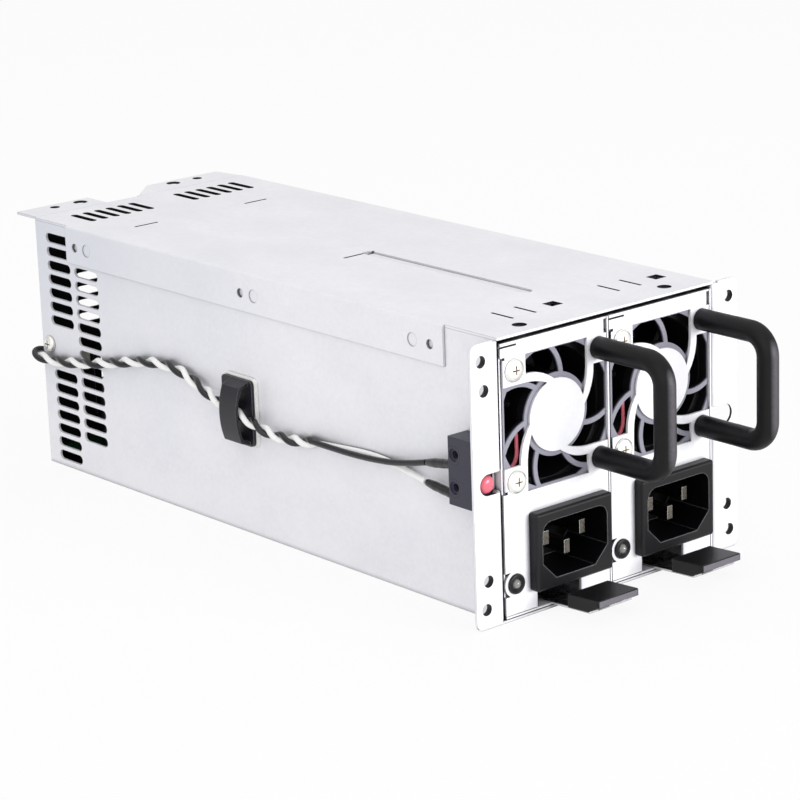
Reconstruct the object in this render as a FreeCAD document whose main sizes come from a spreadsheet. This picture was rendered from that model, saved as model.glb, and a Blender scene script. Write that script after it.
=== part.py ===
"""Hot swap server power supply: a sheet steel cage that holds two pull-out power modules.

Millimetres. X runs across the cage, Y from its front to its back, Z up. The origin is the
middle of the cage's bottom face. Every piece is drawn from the plane of the front ears, Y = 0,
and its Placement then carries it back by half the cage's depth.
"""
import FreeCAD, Part
import math
import os
import Sketcher
from types import SimpleNamespace

SIZES = {
    # The cage: a folded channel with a pair of mounting ears
    "cage_width": 84.4,
    "cage_depth": 221.5,
    "cage_height": 82.5,
    "cage_sheet": 0.8,
    "bend_radius": 1.0,
    "ear_reach": 9.9,
    "ear_height": 82.2,
    "ear_corner": 2.5,
    "ear_hole_radius": 1.75,
    "collar_radius": 2.6,
    "collar_length": 1.2,
    "outer_hole_out": 6.15,
    "outer_hole_low": 5.8,
    "outer_hole_drop": 5.2,
    "inner_hole_out": 5.25,
    "inner_hole_low": 13.9,
    "inner_hole_drop": 13.6,
    # Vent slots in the side walls
    "vent_length": 12.7,
    "vent_width": 3.1,
    "vent_pitch": 4.57,
    "vent_drop": 5.6,
    "vent_floor_margin": 3.0,
    "vent_screw_room": 5.5,
    "vent_back_margin": 5.6,
    "vent_column_gap": 2.3,
    # The top cover
    "cover_sheet": 0.8,
    "flange_drop": 12.0,
    "flange_front": 21.4,
    "flange_back_margin": 17.8,
    "flange_hole_radius": 1.4,
    "flange_hole_front": 27.0,
    "flange_hole_back_margin": 22.7,
    "flange_hole_drop": 6.5,
    "flange_dimple_radius": 2.0,
    "dimple_depth": 0.3,
    "dimple_front_gap": 7.5,
    "dimple_back_gap": 6.3,
    "top_vent_width": 2.4,
    "top_vent_inset": 9.2,
    "top_vent_back_margin": 6.6,
    "bead_width": 4.6,
    "bead_depth": 0.6,
    "bead_front": 30.0,
    "bead_back": 102.0,
    "bead_shift": 1.5,
    "cut_length": 9.0,
    "cut_width": 0.9,
    "end_cut_left": 9.5,
    "end_cut_right": 2.5,
    "rear_cut_left": 24.1,
    "rear_cut_right": 20.1,
    "rear_cut_margin": 36.2,
    "front_cut_left": 4.2,
    "front_cut_right": 4.5,
    "front_cut_start": 12.2,
    "catch_window": 4.3,
    "catch_window_x": 14.2,
    "catch_window_y": 15.8,
    "locating_hole_radius": 2.1,
    "locating_hole_inset": 13.9,
    "locating_hole_y": 6.0,
    # The rear panel and its brackets
    "harness_window_width": 46.0,
    "harness_window_height": 20.0,
    "harness_window_bottom": 14.0,
    "grommet_wall": 1.6,
    "grommet_lip": 1.2,
    "rear_vent_reach": 27.0,
    "rear_vent_low": 46.0,
    "bracket_reach": 11.2,
    "bracket_leg": 9.0,
    "bracket_inset": 0.6,
    "bracket_left_inner": 13.6,
    "bracket_right_inner": 0.8,
    "bracket_taper": 1.5,
    "bracket_slant": 10.0,
    "bracket_hole_row": 7.5,
    "bracket_small_hole": 1.6,
    "bracket_large_hole": 2.3,
    "bracket_small_x": 29.2,
    "bracket_large_x": 19.1,
    "rear_screw_inset": 4.3,
    "rear_screw_height": 41.0,
    "rear_screw_radius": 1.4,
    "rear_screw_head": 2.6,
    "rear_screw_rise": 1.5,
    "rear_screw_reach": 2.0,
    "hole_room": 0.1,
    "lead_hole_radius": 3.0,
    # The modules
    "running_gap": 0.25,
    "module_sheet": 0.6,
    "module_depth": 178.0,
    "module_height": 79.5,
    "panel_sheet": 0.8,
    "panel_strip": 0.85,
    "panel_relief": 0.8,
    "panel_return": 6.0,
    "panel_floor_gap": 0.15,
    "panel_lap_gap": 0.1,
    "relief_rise": 20.2,
    "relief_drop": 19.0,
    "lamp_notch_rise": 3.6,
    "lamp_notch_drop": 3.4,
    "lamp_notch_width": 1.9,
    "corner_notch_width": 1.0,
    "corner_notch_height": 4.6,
    "slit_length": 6.0,
    "slit_width": 0.5,
    "slit_drop": 0.9,
    "window_room": 0.4,
    "post_inset": 6.0,
    "post_low": 8.0,
    "post_drop": 10.0,
    "post_radius": 2.5,
    "tray_vent_x": 12.0,
    "tray_vent_width": 4.0,
    "tray_vent_low": 12.0,
    "tray_vent_drop": 28.55,
    # The fan and the guard that is cut in the front panel
    "fan_size": 40.0,
    "fan_depth": 28.0,
    "fan_bore": 19.0,
    "fan_flare": 20.8,
    "flare_depth": 3.4,
    "fan_wall": 0.7,
    "fan_holes_apart": 32.0,
    "fan_hole_radius": 1.7,
    "fan_shift": 0.45,
    "fan_height": 56.2,
    "guard_disc": 10.5,
    "guard_half": 11.65,
    "guard_reach": 19.75,
    "guard_root": 14.1,
    "guard_tip_turn": 20.0,
    "guard_root_turn": 94.4,
    "mount_radius": 12.0,
    "mount_depth": 3.0,
    "bearing_floor": 0.8,
    "strut_turn": 78.0,
    "strut_sweep": 20.0,
    "strut_width": 1.5,
    "strut_depth": 1.7,
    "rotor_hub": 11.2,
    "rotor_tip": 17.4,
    "rotor_gap": 0.7,
    "rotor_length": 20.0,
    "blade_chord": 15.0,
    "blade_thickness": 1.1,
    "blade_root_turn": 32.0,
    "blade_tip_turn": 50.0,
    "blade_root_sink": 1.6,
    "shaft_radius": 1.0,
    "bearing_gap": 0.1,
    "shaft_gap": 1.0,
    "fan_wire": 1.1,
    "fan_wire_room": 0.9,
    "lead_notch_low": 14.4,
    "lead_notch_high": 11.6,
    "lead_notch_reach": 11.6,
    "lead_notch_extra": 0.8,
    "fan_screw_head": 3.4,
    "fan_screw_rise": 1.1,
    "fan_screw_radius": 1.45,
    "fan_screw_reach": 8.0,
    # The handle
    "handle_radius": 3.2,
    "handle_reach": 26.0,
    "handle_bend": 6.5,
    "stud_radius": 1.5,
    "stud_length": 9.0,
    # The mains inlet
    "bezel_width": 29.5,
    "bezel_height": 23.0,
    "bezel_depth": 3.2,
    "bezel_edge": 0.9,
    "inlet_x": 3.4,
    "inlet_height": 18.7,
    "inlet_body_width": 27.0,
    "inlet_body_height": 19.8,
    "inlet_body_depth": 19.0,
    "inlet_room": 0.1,
    "cavity_width": 25.0,
    "cavity_height": 17.0,
    "cavity_depth": 16.5,
    "cavity_chamfer": 5.0,
    "cavity_corner": 3.5,
    "pin_width": 2.0,
    "pin_height": 4.0,
    "pin_pitch": 14.0,
    "earth_drop": 4.0,
    "line_pin_recess": 4.6,
    "earth_pin_recess": 3.6,
    # The status lamp
    "lamp_x": 16.7,
    "lamp_height": 10.7,
    "lamp_radius": 1.5,
    "lamp_holder_radius": 2.95,
    "lamp_boss_radius": 4.0,
    "lamp_proud": 1.3,
    "lamp_barrel": 2.35,
    "lamp_flange": 0.9,
    "lamp_length": 6.0,
    "lamp_fit": 0.05,
    # The latch
    "latch_x": 1.9,
    "latch_width": 12.4,
    "latch_sheet": 0.6,
    "latch_back": 34.0,
    "latch_slope": 0.06,
    "tab_x": 2.8,
    "tab_width": 15.8,
    "tab_height": 4.0,
    "tab_back": 8.6,
    "tab_front": 21.0,
    "tab_undercut": 4.4,
    "tab_lip": 2.0,
    "tab_corner": 0.8,
    "tab_edge": 0.35,
    "tongue_x": 3.4,
    "tongue_width": 8.5,
    "tongue_thickness": 0.5,
    "tongue_gap": 0.1,
    "tooth_width": 6.0,
    "tooth_front": 11.0,
    "tooth_back": 15.0,
    "tooth_tip": 1.4,
    "tooth_clearance": 0.15,
    "latch_window_x": -0.15,
    "latch_window_width": 17.0,
    "latch_window_top": 8.0,
    # The boards and what stands on them
    "board_sheet": 1.6,
    "board_standoff": 3.0,
    "board_front": 32.0,
    "board_back": 172.0,
    "board_low": 2.5,
    "board_drop": 5.5,
    "sink_start": 76.0,
    "sink_low": 12.0,
    "sink_high": 62.0,
    "sink_width": 26.0,
    "sink_length": 56.0,
    "sink_base": 2.0,
    "fin_inset": 2.0,
    "fin_pitch": 5.5,
    "fin_sheet": 1.2,
    "fin_height": 8.0,
    "core_start": 90.0,
    "core_low": 28.0,
    "core_width": 24.0,
    "core_length": 30.0,
    "core_bar": 8.0,
    "winding_inset": 3.0,
    "winding_width": 22.0,
    "reservoir_radius": 9.0,
    "reservoir_length": 28.0,
    "reservoir_y": 52.0,
    "reservoir_low": 36.0,
    "reservoir_pitch": 22.0,
    "filter_radius": 5.0,
    "filter_length": 22.0,
    "filter_y": 145.0,
    "filter_low": 30.0,
    "filter_pitch_y": 13.0,
    "filter_pitch_z": 14.0,
    "plug_block_length": 13.5,
    "plug_block_margin": 2.0,
    "backplane_y": 187.0,
    "backplane_low": 1.2,
    "backplane_drop": 4.0,
    "board_opening_width": 16.0,
    "board_opening_height": 12.0,
    "board_opening_low": 24.0,
    "board_opening_pitch": 24.0,
    "socket_depth": 7.0,
    "socket_side_room": 1.0,
    "socket_side_wall": 2.0,
    "socket_rim": 1.5,
    "shelf_height": 4.0,
    "shelf_room": 1.0,
    "foot_radius": 2.5,
    "foot_x": 34.0,
    "foot_front": 6.0,
    "foot_back": 24.0,
    "can_radius": 5.0,
    "can_height": 24.0,
    "can_inner_x": 18.0,
    "can_outer_x": 30.0,
    "can_back": 10.0,
    "small_can_radius": 4.0,
    "small_can_height": 15.0,
    "small_can_x": 24.0,
    "small_can_back": 21.5,
    "buzzer_radius": 6.0,
    "buzzer_height": 9.5,
    "buzzer_back": 12.0,
    "buzzer_hole": 1.2,
    "buzzer_hole_depth": 2.0,
    "plug_width": 8.0,
    "plug_low": 64.0,
    "plug_height": 11.0,
    "plug_reach": 6.5,
    "plug_room": 0.5,
    # The alarm switch, its button and its lead
    "switch_length": 19.8,
    "switch_width": 10.2,
    "switch_thickness": 6.4,
    "switch_spacer": 0.7,
    "switch_front": 3.2,
    "switch_centre_height": 43.8,
    "switch_holes_apart": 9.5,
    "switch_hole_line": 7.8,
    "switch_hole_radius": 1.2,
    "switch_recess_radius": 1.9,
    "switch_recess_depth": 0.5,
    "switch_well_radius": 1.3,
    "switch_well_depth": 3.2,
    "button_shift": 0.5,
    "button_drop": 2.1,
    "button_radius": 2.6,
    "button_proud": 0.4,
    "button_length": 2.2,
    "stem_radius": 1.0,
    "stem_start": 1.5,
    "stem_depth": 1.6,
    "button_slot_half": 3.1,
    "terminal_length": 1.3,
    "terminal_width": 3.2,
    "terminal_sheet": 0.5,
    "terminal_drop": 8.4,
    "terminal_shift": 0.6,
    "terminal_rise": 7.9,
    "lead_wire": 1.8,
    "header_length": 9.0,
    "header_height": 6.6,
    "sleeve_diameter": 2.8,
    "sleeve_gap": 0.55,
    "clip_front": 107.4,
    "clip_length": 15.4,
    "clip_bottom": 28.6,
    "clip_height": 21.4,
    "clip_corner": 1.5,
    "clip_plate": 1.0,
    "foam_thickness": 1.2,
    "foam_margin": 0.4,
    "strap_start": 2.1,
    "strap_width": 8.2,
    "strap_thickness": 0.85,
    "strap_slope": 1.2,
    "strap_rise": 3.4,
    "strap_arch": 5.0,
}


class Size:
    """A dimension: its number now, and the sheet expression that gives it."""

    def __init__(self, number, text):
        self.number = float(number)
        self.text = text

    def __float__(self):
        return self.number

    def __neg__(self):
        return Size(-self.number, f"(-{self.text})")

    def __add__(self, other):
        other = as_size(other)
        return Size(self.number + other.number, f"({self.text} + {other.text})")

    def __radd__(self, other):
        return as_size(other) + self

    def __sub__(self, other):
        other = as_size(other)
        return Size(self.number - other.number, f"({self.text} - {other.text})")

    def __rsub__(self, other):
        return as_size(other) - self

    def __mul__(self, other):
        other = as_size(other)
        return Size(self.number * other.number, f"({self.text} * {other.text})")

    def __rmul__(self, other):
        return as_size(other) * self

    def __truediv__(self, other):
        other = as_size(other)
        return Size(self.number / other.number, f"({self.text} / {other.text})")


def as_size(value):
    """A plain number becomes a Size whose expression is the number itself."""
    if isinstance(value, Size):
        return value
    return Size(value, f"({float(value):.6f})")


doc = FreeCAD.newDocument("HotSwapPowerSupply")


def write_sheet():
    """Put every size in its own cell, under its own alias."""
    sheet = doc.addObject("Spreadsheet::Sheet", "Sizes")
    for row, (name, number) in enumerate(SIZES.items(), start=1):
        sheet.set(f"A{row}", name.replace("_", " "))
        sheet.set(f"B{row}", str(number))
        sheet.setAlias(f"B{row}", name)
    doc.recompute()
    return sheet


SHEET = write_sheet()
S = SimpleNamespace(**{name: Size(SHEET.get(name), f"Sizes.{name}") for name in SIZES})

# Derived places that several pieces share
HALF = S.cage_width / 2
WALL = HALF - S.cage_sheet
ROOF = S.cage_height - S.cover_sheet
MODULE_WIDTH = (S.cage_width - 2 * S.cage_sheet - 3 * S.running_gap) / 2
MODULE_HALF = MODULE_WIDTH / 2
MODULE_PITCH = MODULE_WIDTH + S.running_gap
MODULE_BOTTOM = S.cage_sheet + S.running_gap
MODULE_TOP = MODULE_BOTTOM + S.module_height
MODULE_FLOOR = MODULE_BOTTOM + S.module_sheet
FAN_PIN = S.fan_holes_apart / 2
BUTTON_X = HALF + S.switch_spacer + S.switch_thickness / 2 + S.button_shift
BUTTON_HEIGHT = S.switch_centre_height - S.button_drop

TOP_VENTS = 6
REAR_VENTS = 6
BLADES = 7
SCREW_TAPER = 0.8
OVERRUN = 1.0

PIECES = []


def bind(thing, name, value):
    """Tie a property of an object to the sheet."""
    thing.setExpression(name, as_size(value).text)


def finish(thing, label, x=0.0, z=0.0):
    """Name a finished piece and carry it from the ear plane to its place in the part."""
    if thing.TypeId in ("Part::Box", "Part::Cylinder"):
        thing = group(thing)
    thing.Label = label
    bind(thing, "Placement.Base.x", x)
    bind(thing, "Placement.Base.y", -S.cage_depth / 2)
    bind(thing, "Placement.Base.z", z)
    PIECES.append(thing)
    return thing


# Sketches and the features made from them

SIGN = {"XY_Plane": 1, "XZ_Plane": -1, "YZ_Plane": 1}


def new_body(name):
    return doc.addObject("PartDesign::Body", name)


def new_sketch(body, role, at=0.0, centre=(0.0, 0.0)):
    """A sketch on one of the body's own planes, moved along that plane's axis and in it."""
    sketch = body.newObject("Sketcher::SketchObject", "Outline")
    plane = next(item for item in body.Origin.OriginFeatures if item.Role == role)
    sketch.AttachmentSupport = [(plane, "")]
    sketch.MapMode = "FlatFace"
    sketch.Label2 = role
    bind(sketch, "AttachmentOffset.Base.x", centre[0])
    bind(sketch, "AttachmentOffset.Base.y", centre[1])
    bind(sketch, "AttachmentOffset.Base.z", as_size(at) * SIGN[role])
    return sketch


def pin(sketch, geometry, point, x, y):
    """Hold a sketch point at a distance from the sketch's own origin."""
    for kind, value in (("DistanceX", as_size(x)), ("DistanceY", as_size(y))):
        rule = Sketcher.Constraint(kind, -1, 1, geometry, point, value.number)
        number = sketch.addConstraint(rule)
        name = f"{kind}{geometry}at{point}"
        sketch.renameConstraint(number, name)
        sketch.setExpression("Constraints." + name, value.text)


def radius_rule(sketch, geometry, radius):
    number = sketch.addConstraint(Sketcher.Constraint("Radius", geometry, float(radius)))
    name = f"Radius{geometry}"
    sketch.renameConstraint(number, name)
    sketch.setExpression("Constraints." + name, as_size(radius).text)


def flat(x, y):
    return FreeCAD.Vector(float(x), float(y), 0)


def polygon(sketch, points):
    """A closed outline of straight lines with every corner pinned."""
    first = sketch.GeometryCount
    count = len(points)
    for index, point in enumerate(points):
        following = points[(index + 1) % count]
        sketch.addGeometry(Part.LineSegment(flat(*point), flat(*following)), False)
    for index in range(count):
        rule = Sketcher.Constraint("Coincident", first + index, 2, first + (index + 1) % count, 1)
        sketch.addConstraint(rule)
    for index, point in enumerate(points):
        pin(sketch, first + index, 1, *point)
    return sketch


def rectangle(sketch, x0, y0, x1, y1):
    return polygon(sketch, [(x0, y0), (x1, y0), (x1, y1), (x0, y1)])


def circle(sketch, x, y, radius):
    number = sketch.addGeometry(Part.Circle(flat(x, y), FreeCAD.Vector(0, 0, 1), float(radius)), False)
    pin(sketch, number, 3, x, y)
    radius_rule(sketch, number, radius)
    return sketch


def slot(sketch, start, end, radius):
    """A slot with round ends between two centres."""
    turn = math.atan2(float(end[1]) - float(start[1]), float(end[0]) - float(start[0]))
    side = FreeCAD.Vector(-math.sin(turn), math.cos(turn), 0) * float(radius)
    up = FreeCAD.Vector(0, 0, 1)
    quarter = math.pi / 2
    near = Part.Circle(flat(*start), up, float(radius))
    far = Part.Circle(flat(*end), up, float(radius))
    first = sketch.GeometryCount
    sketch.addGeometry(Part.ArcOfCircle(near, turn + quarter, turn + 3 * quarter), False)
    sketch.addGeometry(Part.LineSegment(flat(*start) - side, flat(*end) - side), False)
    sketch.addGeometry(Part.ArcOfCircle(far, turn - quarter, turn + quarter), False)
    sketch.addGeometry(Part.LineSegment(flat(*end) + side, flat(*start) + side), False)
    for index in range(4):
        following = first + (index + 1) % 4
        sketch.addConstraint(Sketcher.Constraint("Tangent", first + index, 2, following, 1))
    sketch.addConstraint(Sketcher.Constraint("Equal", first, first + 2))
    pin(sketch, first, 3, *start)
    pin(sketch, first + 2, 3, *end)
    radius_rule(sketch, first, radius)
    return sketch


def chain(sketch, curves):
    """A closed outline of ready curves, each ending where the next begins."""
    first = sketch.GeometryCount
    for curve in curves:
        sketch.addGeometry(curve, False)
    return first


def pad(body, sketch, length, plus=True):
    """Thicken a sketch towards plus or minus along its plane's axis."""
    feature = body.newObject("PartDesign::Pad", "Pad")
    feature.Profile = sketch
    bind(feature, "Length", length)
    feature.Reversed = (SIGN[sketch.Label2] < 0) == plus
    body.Tip = feature
    return feature


def pocket(body, sketch, length=None, plus=True):
    """Cut a sketch out, to a depth towards plus or minus, or right through both ways."""
    feature = body.newObject("PartDesign::Pocket", "Pocket")
    feature.Profile = sketch
    if length is None:
        feature.Type = "ThroughAll"
        feature.Midplane = True
    else:
        bind(feature, "Length", length)
        feature.Reversed = (SIGN[sketch.Label2] > 0) == plus
    body.Tip = feature
    return feature


def row(body, feature, axis, pitch, count, backwards=False):
    """Repeat a feature along an axis of its sketch."""
    pattern = body.newObject("PartDesign::LinearPattern", "Row")
    pattern.Originals = [feature]
    pattern.Direction = (feature.Profile[0], [axis])
    pattern.Mode = "Spacing"
    bind(pattern, "Offset", pitch)
    pattern.Occurrences = count
    pattern.Reversed = backwards
    body.Tip = pattern
    return pattern


def ring(body, feature, sketch, count):
    """Repeat a feature round its sketch's own centre."""
    pattern = body.newObject("PartDesign::PolarPattern", "Ring")
    pattern.Originals = [feature]
    pattern.Axis = (sketch, ["N_Axis"])
    pattern.Angle = 360
    pattern.Occurrences = count
    body.Tip = pattern
    return pattern


def edges_at(shape, along, x=None, y=None, z=None):
    """Names of the straight edges along one axis whose middle is at the given places."""
    axis = {"x": FreeCAD.Vector(1, 0, 0), "y": FreeCAD.Vector(0, 1, 0), "z": FreeCAD.Vector(0, 0, 1)}[along]
    found = []
    for number, edge in enumerate(shape.Edges, start=1):
        if len(edge.Vertexes) != 2:
            continue
        span = edge.Vertexes[1].Point - edge.Vertexes[0].Point
        if abs(span.Length - edge.Length) > 1e-6 or abs(abs(span.dot(axis)) - edge.Length) > 1e-6:
            continue
        middle = edge.CenterOfMass
        wanted = ((x, middle.x), (y, middle.y), (z, middle.z))
        if all(value is None or abs(float(value) - place) < 0.01 for value, place in wanted):
            found.append(f"Edge{number}")
    return found


def soften(body, edges, radius, kind="PartDesign::Fillet"):
    """Round or chamfer named edges of the body's last feature."""
    base = body.Tip
    feature = body.newObject(kind, "Soften")
    feature.Base = (base, edges)
    bind(feature, "Radius" if kind.endswith("Fillet") else "Size", radius)
    body.Tip = feature
    return feature


# Plain solids for the pieces that are turned, stacked or punched from stock


def box(x, y, z, wide, deep, tall):
    block = doc.addObject("Part::Box", "Block")
    for name, value in (("Length", wide), ("Width", deep), ("Height", tall)):
        bind(block, name, value)
    for name, value in zip("xyz", (x, y, z)):
        bind(block, "Placement.Base." + name, value)
    return block


TURNS = {
    "x": FreeCAD.Rotation(FreeCAD.Vector(0, 1, 0), 90),
    "y": FreeCAD.Rotation(FreeCAD.Vector(1, 0, 0), -90),
    "z": FreeCAD.Rotation(),
}


def turned(thing, along, x, y, z):
    thing.Placement = FreeCAD.Placement(FreeCAD.Vector(), TURNS[along])
    for name, value in zip("xyz", (x, y, z)):
        bind(thing, "Placement.Base." + name, value)
    return thing


def rod(along, x, y, z, radius, length):
    cylinder = doc.addObject("Part::Cylinder", "Rod")
    bind(cylinder, "Radius", radius)
    bind(cylinder, "Height", length)
    return turned(cylinder, along, x, y, z)


def cone(along, x, y, z, radius, end_radius, length):
    thing = doc.addObject("Part::Cone", "Taper")
    bind(thing, "Radius1", radius)
    bind(thing, "Radius2", end_radius)
    bind(thing, "Height", length)
    return turned(thing, along, x, y, z)


def fuse(*things):
    result = doc.addObject("Part::MultiFuse", "Fused")
    result.Shapes = list(things)
    return result


def cut(base, *tools):
    result = doc.addObject("Part::Cut", "Trimmed")
    result.Base = base
    result.Tool = tools[0] if len(tools) == 1 else fuse(*tools)
    return result


def group(*things):
    """Separate solids that share one node."""
    result = doc.addObject("Part::Compound", "Group")
    result.Links = list(things)
    return result


# The cage


def cage_chassis():
    """One folded channel: floor, two side walls and the front ears."""
    body = new_body("CageChassis")
    channel = new_sketch(body, "XZ_Plane")
    polygon(channel, [
        (-HALF, 0), (HALF, 0), (HALF, ROOF), (WALL, ROOF),
        (WALL, S.cage_sheet), (-WALL, S.cage_sheet), (-WALL, ROOF), (-HALF, ROOF),
    ])
    pad(body, channel, S.cage_depth)
    ears = new_sketch(body, "XZ_Plane")
    relief = HALF + S.bend_radius + S.cage_sheet
    for side in (-1, 1):
        polygon(ears, [
            (side * (HALF + S.ear_reach), 0), (side * WALL, 0), (side * WALL, ROOF), (side * relief, ROOF),
            (side * relief, S.ear_height), (side * (HALF + S.ear_reach), S.ear_height),
        ])
    pad(body, ears, S.cage_sheet)
    doc.recompute()
    bend = S.bend_radius + S.cage_sheet
    outer = edges_at(body.Shape, "z", x=-WALL, y=0) + edges_at(body.Shape, "z", x=WALL, y=0)
    soften(body, outer, bend)
    doc.recompute()
    inner = edges_at(body.Shape, "z", x=-HALF, y=S.cage_sheet) + edges_at(body.Shape, "z", x=HALF, y=S.cage_sheet)
    soften(body, inner, S.bend_radius)
    doc.recompute()
    reach = HALF + S.ear_reach
    tips = []
    for side in (-1, 1):
        for height in (0, S.ear_height):
            tips += edges_at(body.Shape, "y", x=side * reach, z=height)
    soften(body, tips, S.ear_corner)
    collars = new_sketch(body, "XZ_Plane", at=S.cage_sheet)
    holes = new_sketch(body, "XZ_Plane", at=0)
    rows = (
        (HALF + S.outer_hole_out, S.outer_hole_low), (HALF + S.outer_hole_out, S.ear_height - S.outer_hole_drop),
        (HALF + S.inner_hole_out, S.inner_hole_low), (HALF + S.inner_hole_out, S.ear_height - S.inner_hole_drop),
    )
    for side in (-1, 1):
        for across, height in rows:
            circle(collars, side * across, height, S.collar_radius)
            circle(holes, side * across, height, S.ear_hole_radius)
    pad(body, collars, S.collar_length)
    pocket(body, holes, S.cage_sheet + S.collar_length)
    for side in (-1, 1):
        notch = new_sketch(body, "XZ_Plane", at=0)
        inner_end = side * (HALF - 0.1)
        slot(notch, (side * BUTTON_X, BUTTON_HEIGHT), (inner_end, BUTTON_HEIGHT), S.button_slot_half)
        pocket(body, notch, S.switch_front)
    side_vents(body)
    catches = new_sketch(body, "XY_Plane", at=0)
    for side in (-1, 1):
        middle = side * MODULE_PITCH / 2 + S.latch_x
        half = S.tooth_width / 2 + S.running_gap
        rectangle(catches, middle - half, S.tooth_front - S.running_gap, middle + half,
                  S.tooth_back + S.running_gap)
    pocket(body, catches, S.cage_sheet)
    screws = new_sketch(body, "YZ_Plane")
    circle(screws, S.cage_depth - S.rear_screw_inset, S.rear_screw_height, S.rear_screw_radius + S.hole_room)
    pocket(body, screws)
    finish(body, "cage_chassis")


def side_vents(body):
    """Two columns of round-ended slots through both walls, broken beside the rear screw."""
    radius = S.vent_width / 2
    back = S.cage_depth - S.vent_back_margin - radius
    front = back - S.vent_length + S.vent_width
    step = S.vent_length + S.vent_column_gap
    top = S.cage_height - S.vent_drop
    second = top - 2 * S.vent_pitch

    def slots_down_to(start, low):
        return int(float(start - low) / float(S.vent_pitch)) + 1

    above = slots_down_to(top, S.rear_screw_height + S.vent_screw_room)
    skipped = slots_down_to(top, S.rear_screw_height - S.vent_screw_room)
    below = top - skipped * S.vent_pitch
    runs = (
        (back, front, top, above),
        (back, front, below, slots_down_to(below, S.vent_floor_margin)),
        (back - step, front - step, second, slots_down_to(second, S.vent_floor_margin + 2 * S.vent_pitch)),
    )
    for far, near, height, count in runs:
        outline = new_sketch(body, "YZ_Plane")
        slot(outline, (near, height), (far, height), radius)
        row(body, pocket(body, outline), "V_Axis", S.vent_pitch, count, backwards=True)


def top_cover():
    """The lid: a plate with side flanges, a formed bead, vents and punched windows."""
    body = new_body("TopCover")
    plate = new_sketch(body, "XY_Plane", at=ROOF)
    rectangle(plate, -HALF, 0, HALF, S.cage_depth)
    pad(body, plate, S.cover_sheet)
    flange_back = S.cage_depth - S.flange_back_margin
    flanges = new_sketch(body, "XZ_Plane", at=S.flange_front)
    foot = S.cage_height - S.flange_drop
    for side in (-1, 1):
        inner = side * HALF
        outer = side * (HALF + S.cover_sheet)
        rectangle(flanges, inner, foot, outer, S.cage_height)
    pad(body, flanges, flange_back - S.flange_front)
    doc.recompute()
    bends = edges_at(body.Shape, "y", x=-HALF - S.cover_sheet, z=S.cage_height)
    bends += edges_at(body.Shape, "y", x=HALF + S.cover_sheet, z=S.cage_height)
    soften(body, bends, S.cover_sheet)
    under = new_sketch(body, "XY_Plane", at=ROOF)
    near = S.bead_front + S.bead_width / 2
    bead_x = -S.bead_shift
    slot(under, (bead_x, near), (bead_x, S.bead_back), S.bead_width / 2)
    pad(body, under, S.bead_depth, plus=False)
    trough = new_sketch(body, "XY_Plane", at=S.cage_height)
    slot(trough, (bead_x, near), (bead_x, S.bead_back), S.bead_width / 2 - S.cover_sheet / 2)
    pocket(body, trough, S.bead_depth, plus=False)
    cover_cuts(body)
    cover_vents(body)
    cover_flange_holes(body)
    finish(body, "top_cover")


def cover_cuts(body):
    """Shear cuts, catch windows and locating holes through the lid."""
    cuts = new_sketch(body, "XY_Plane", at=ROOF)
    half = S.cut_width / 2
    rectangle(cuts, -S.bead_shift - S.end_cut_left, S.bead_back, -S.bead_shift + S.end_cut_right,
              S.bead_back + S.cut_width)
    line = S.cage_depth - S.rear_cut_margin
    for middle in (-S.rear_cut_left, S.rear_cut_right):
        rectangle(cuts, middle - S.cut_length / 2, line - half, middle + S.cut_length / 2, line + half)
    window = S.catch_window / 2
    for side in (-1, 1):
        middle = side * MODULE_PITCH / 2
        for shift in (-S.front_cut_left, S.front_cut_right):
            rectangle(cuts, middle + shift - half, S.front_cut_start, middle + shift + half,
                      S.front_cut_start + S.cut_length)
        across = middle + S.catch_window_x
        rectangle(cuts, across - window, S.catch_window_y - window, across + window, S.catch_window_y + window)
        circle(cuts, side * (HALF - S.locating_hole_inset), S.locating_hole_y, S.locating_hole_radius)
    pocket(body, cuts)


def cover_vents(body):
    radius = S.top_vent_width / 2
    back = S.cage_depth - S.top_vent_back_margin - radius
    front = back - S.vent_length + S.top_vent_width
    for side in (-1, 1):
        outline = new_sketch(body, "XY_Plane", at=ROOF)
        across = side * S.top_vent_inset
        slot(outline, (across, front), (across, back), radius)
        row(body, pocket(body, outline), "H_Axis", S.vent_pitch, TOP_VENTS, backwards=side < 0)


def cover_flange_holes(body):
    """Three pairs of a hole and a dimple along each flange."""
    height = S.cage_height - S.flange_hole_drop
    front = S.flange_hole_front
    back = S.cage_depth - S.flange_hole_back_margin
    middle = (front + back) / 2
    holes = new_sketch(body, "YZ_Plane")
    for place in (front, middle, back):
        circle(holes, place, height, S.flange_hole_radius)
    pocket(body, holes)
    for side in (-1, 1):
        dimples = new_sketch(body, "YZ_Plane", at=side * (HALF + S.cover_sheet))
        for place in (front + S.dimple_front_gap, middle - S.dimple_back_gap, back - S.dimple_back_gap):
            circle(dimples, place, height, S.flange_dimple_radius)
        pocket(body, dimples, S.dimple_depth, plus=side < 0)


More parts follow.
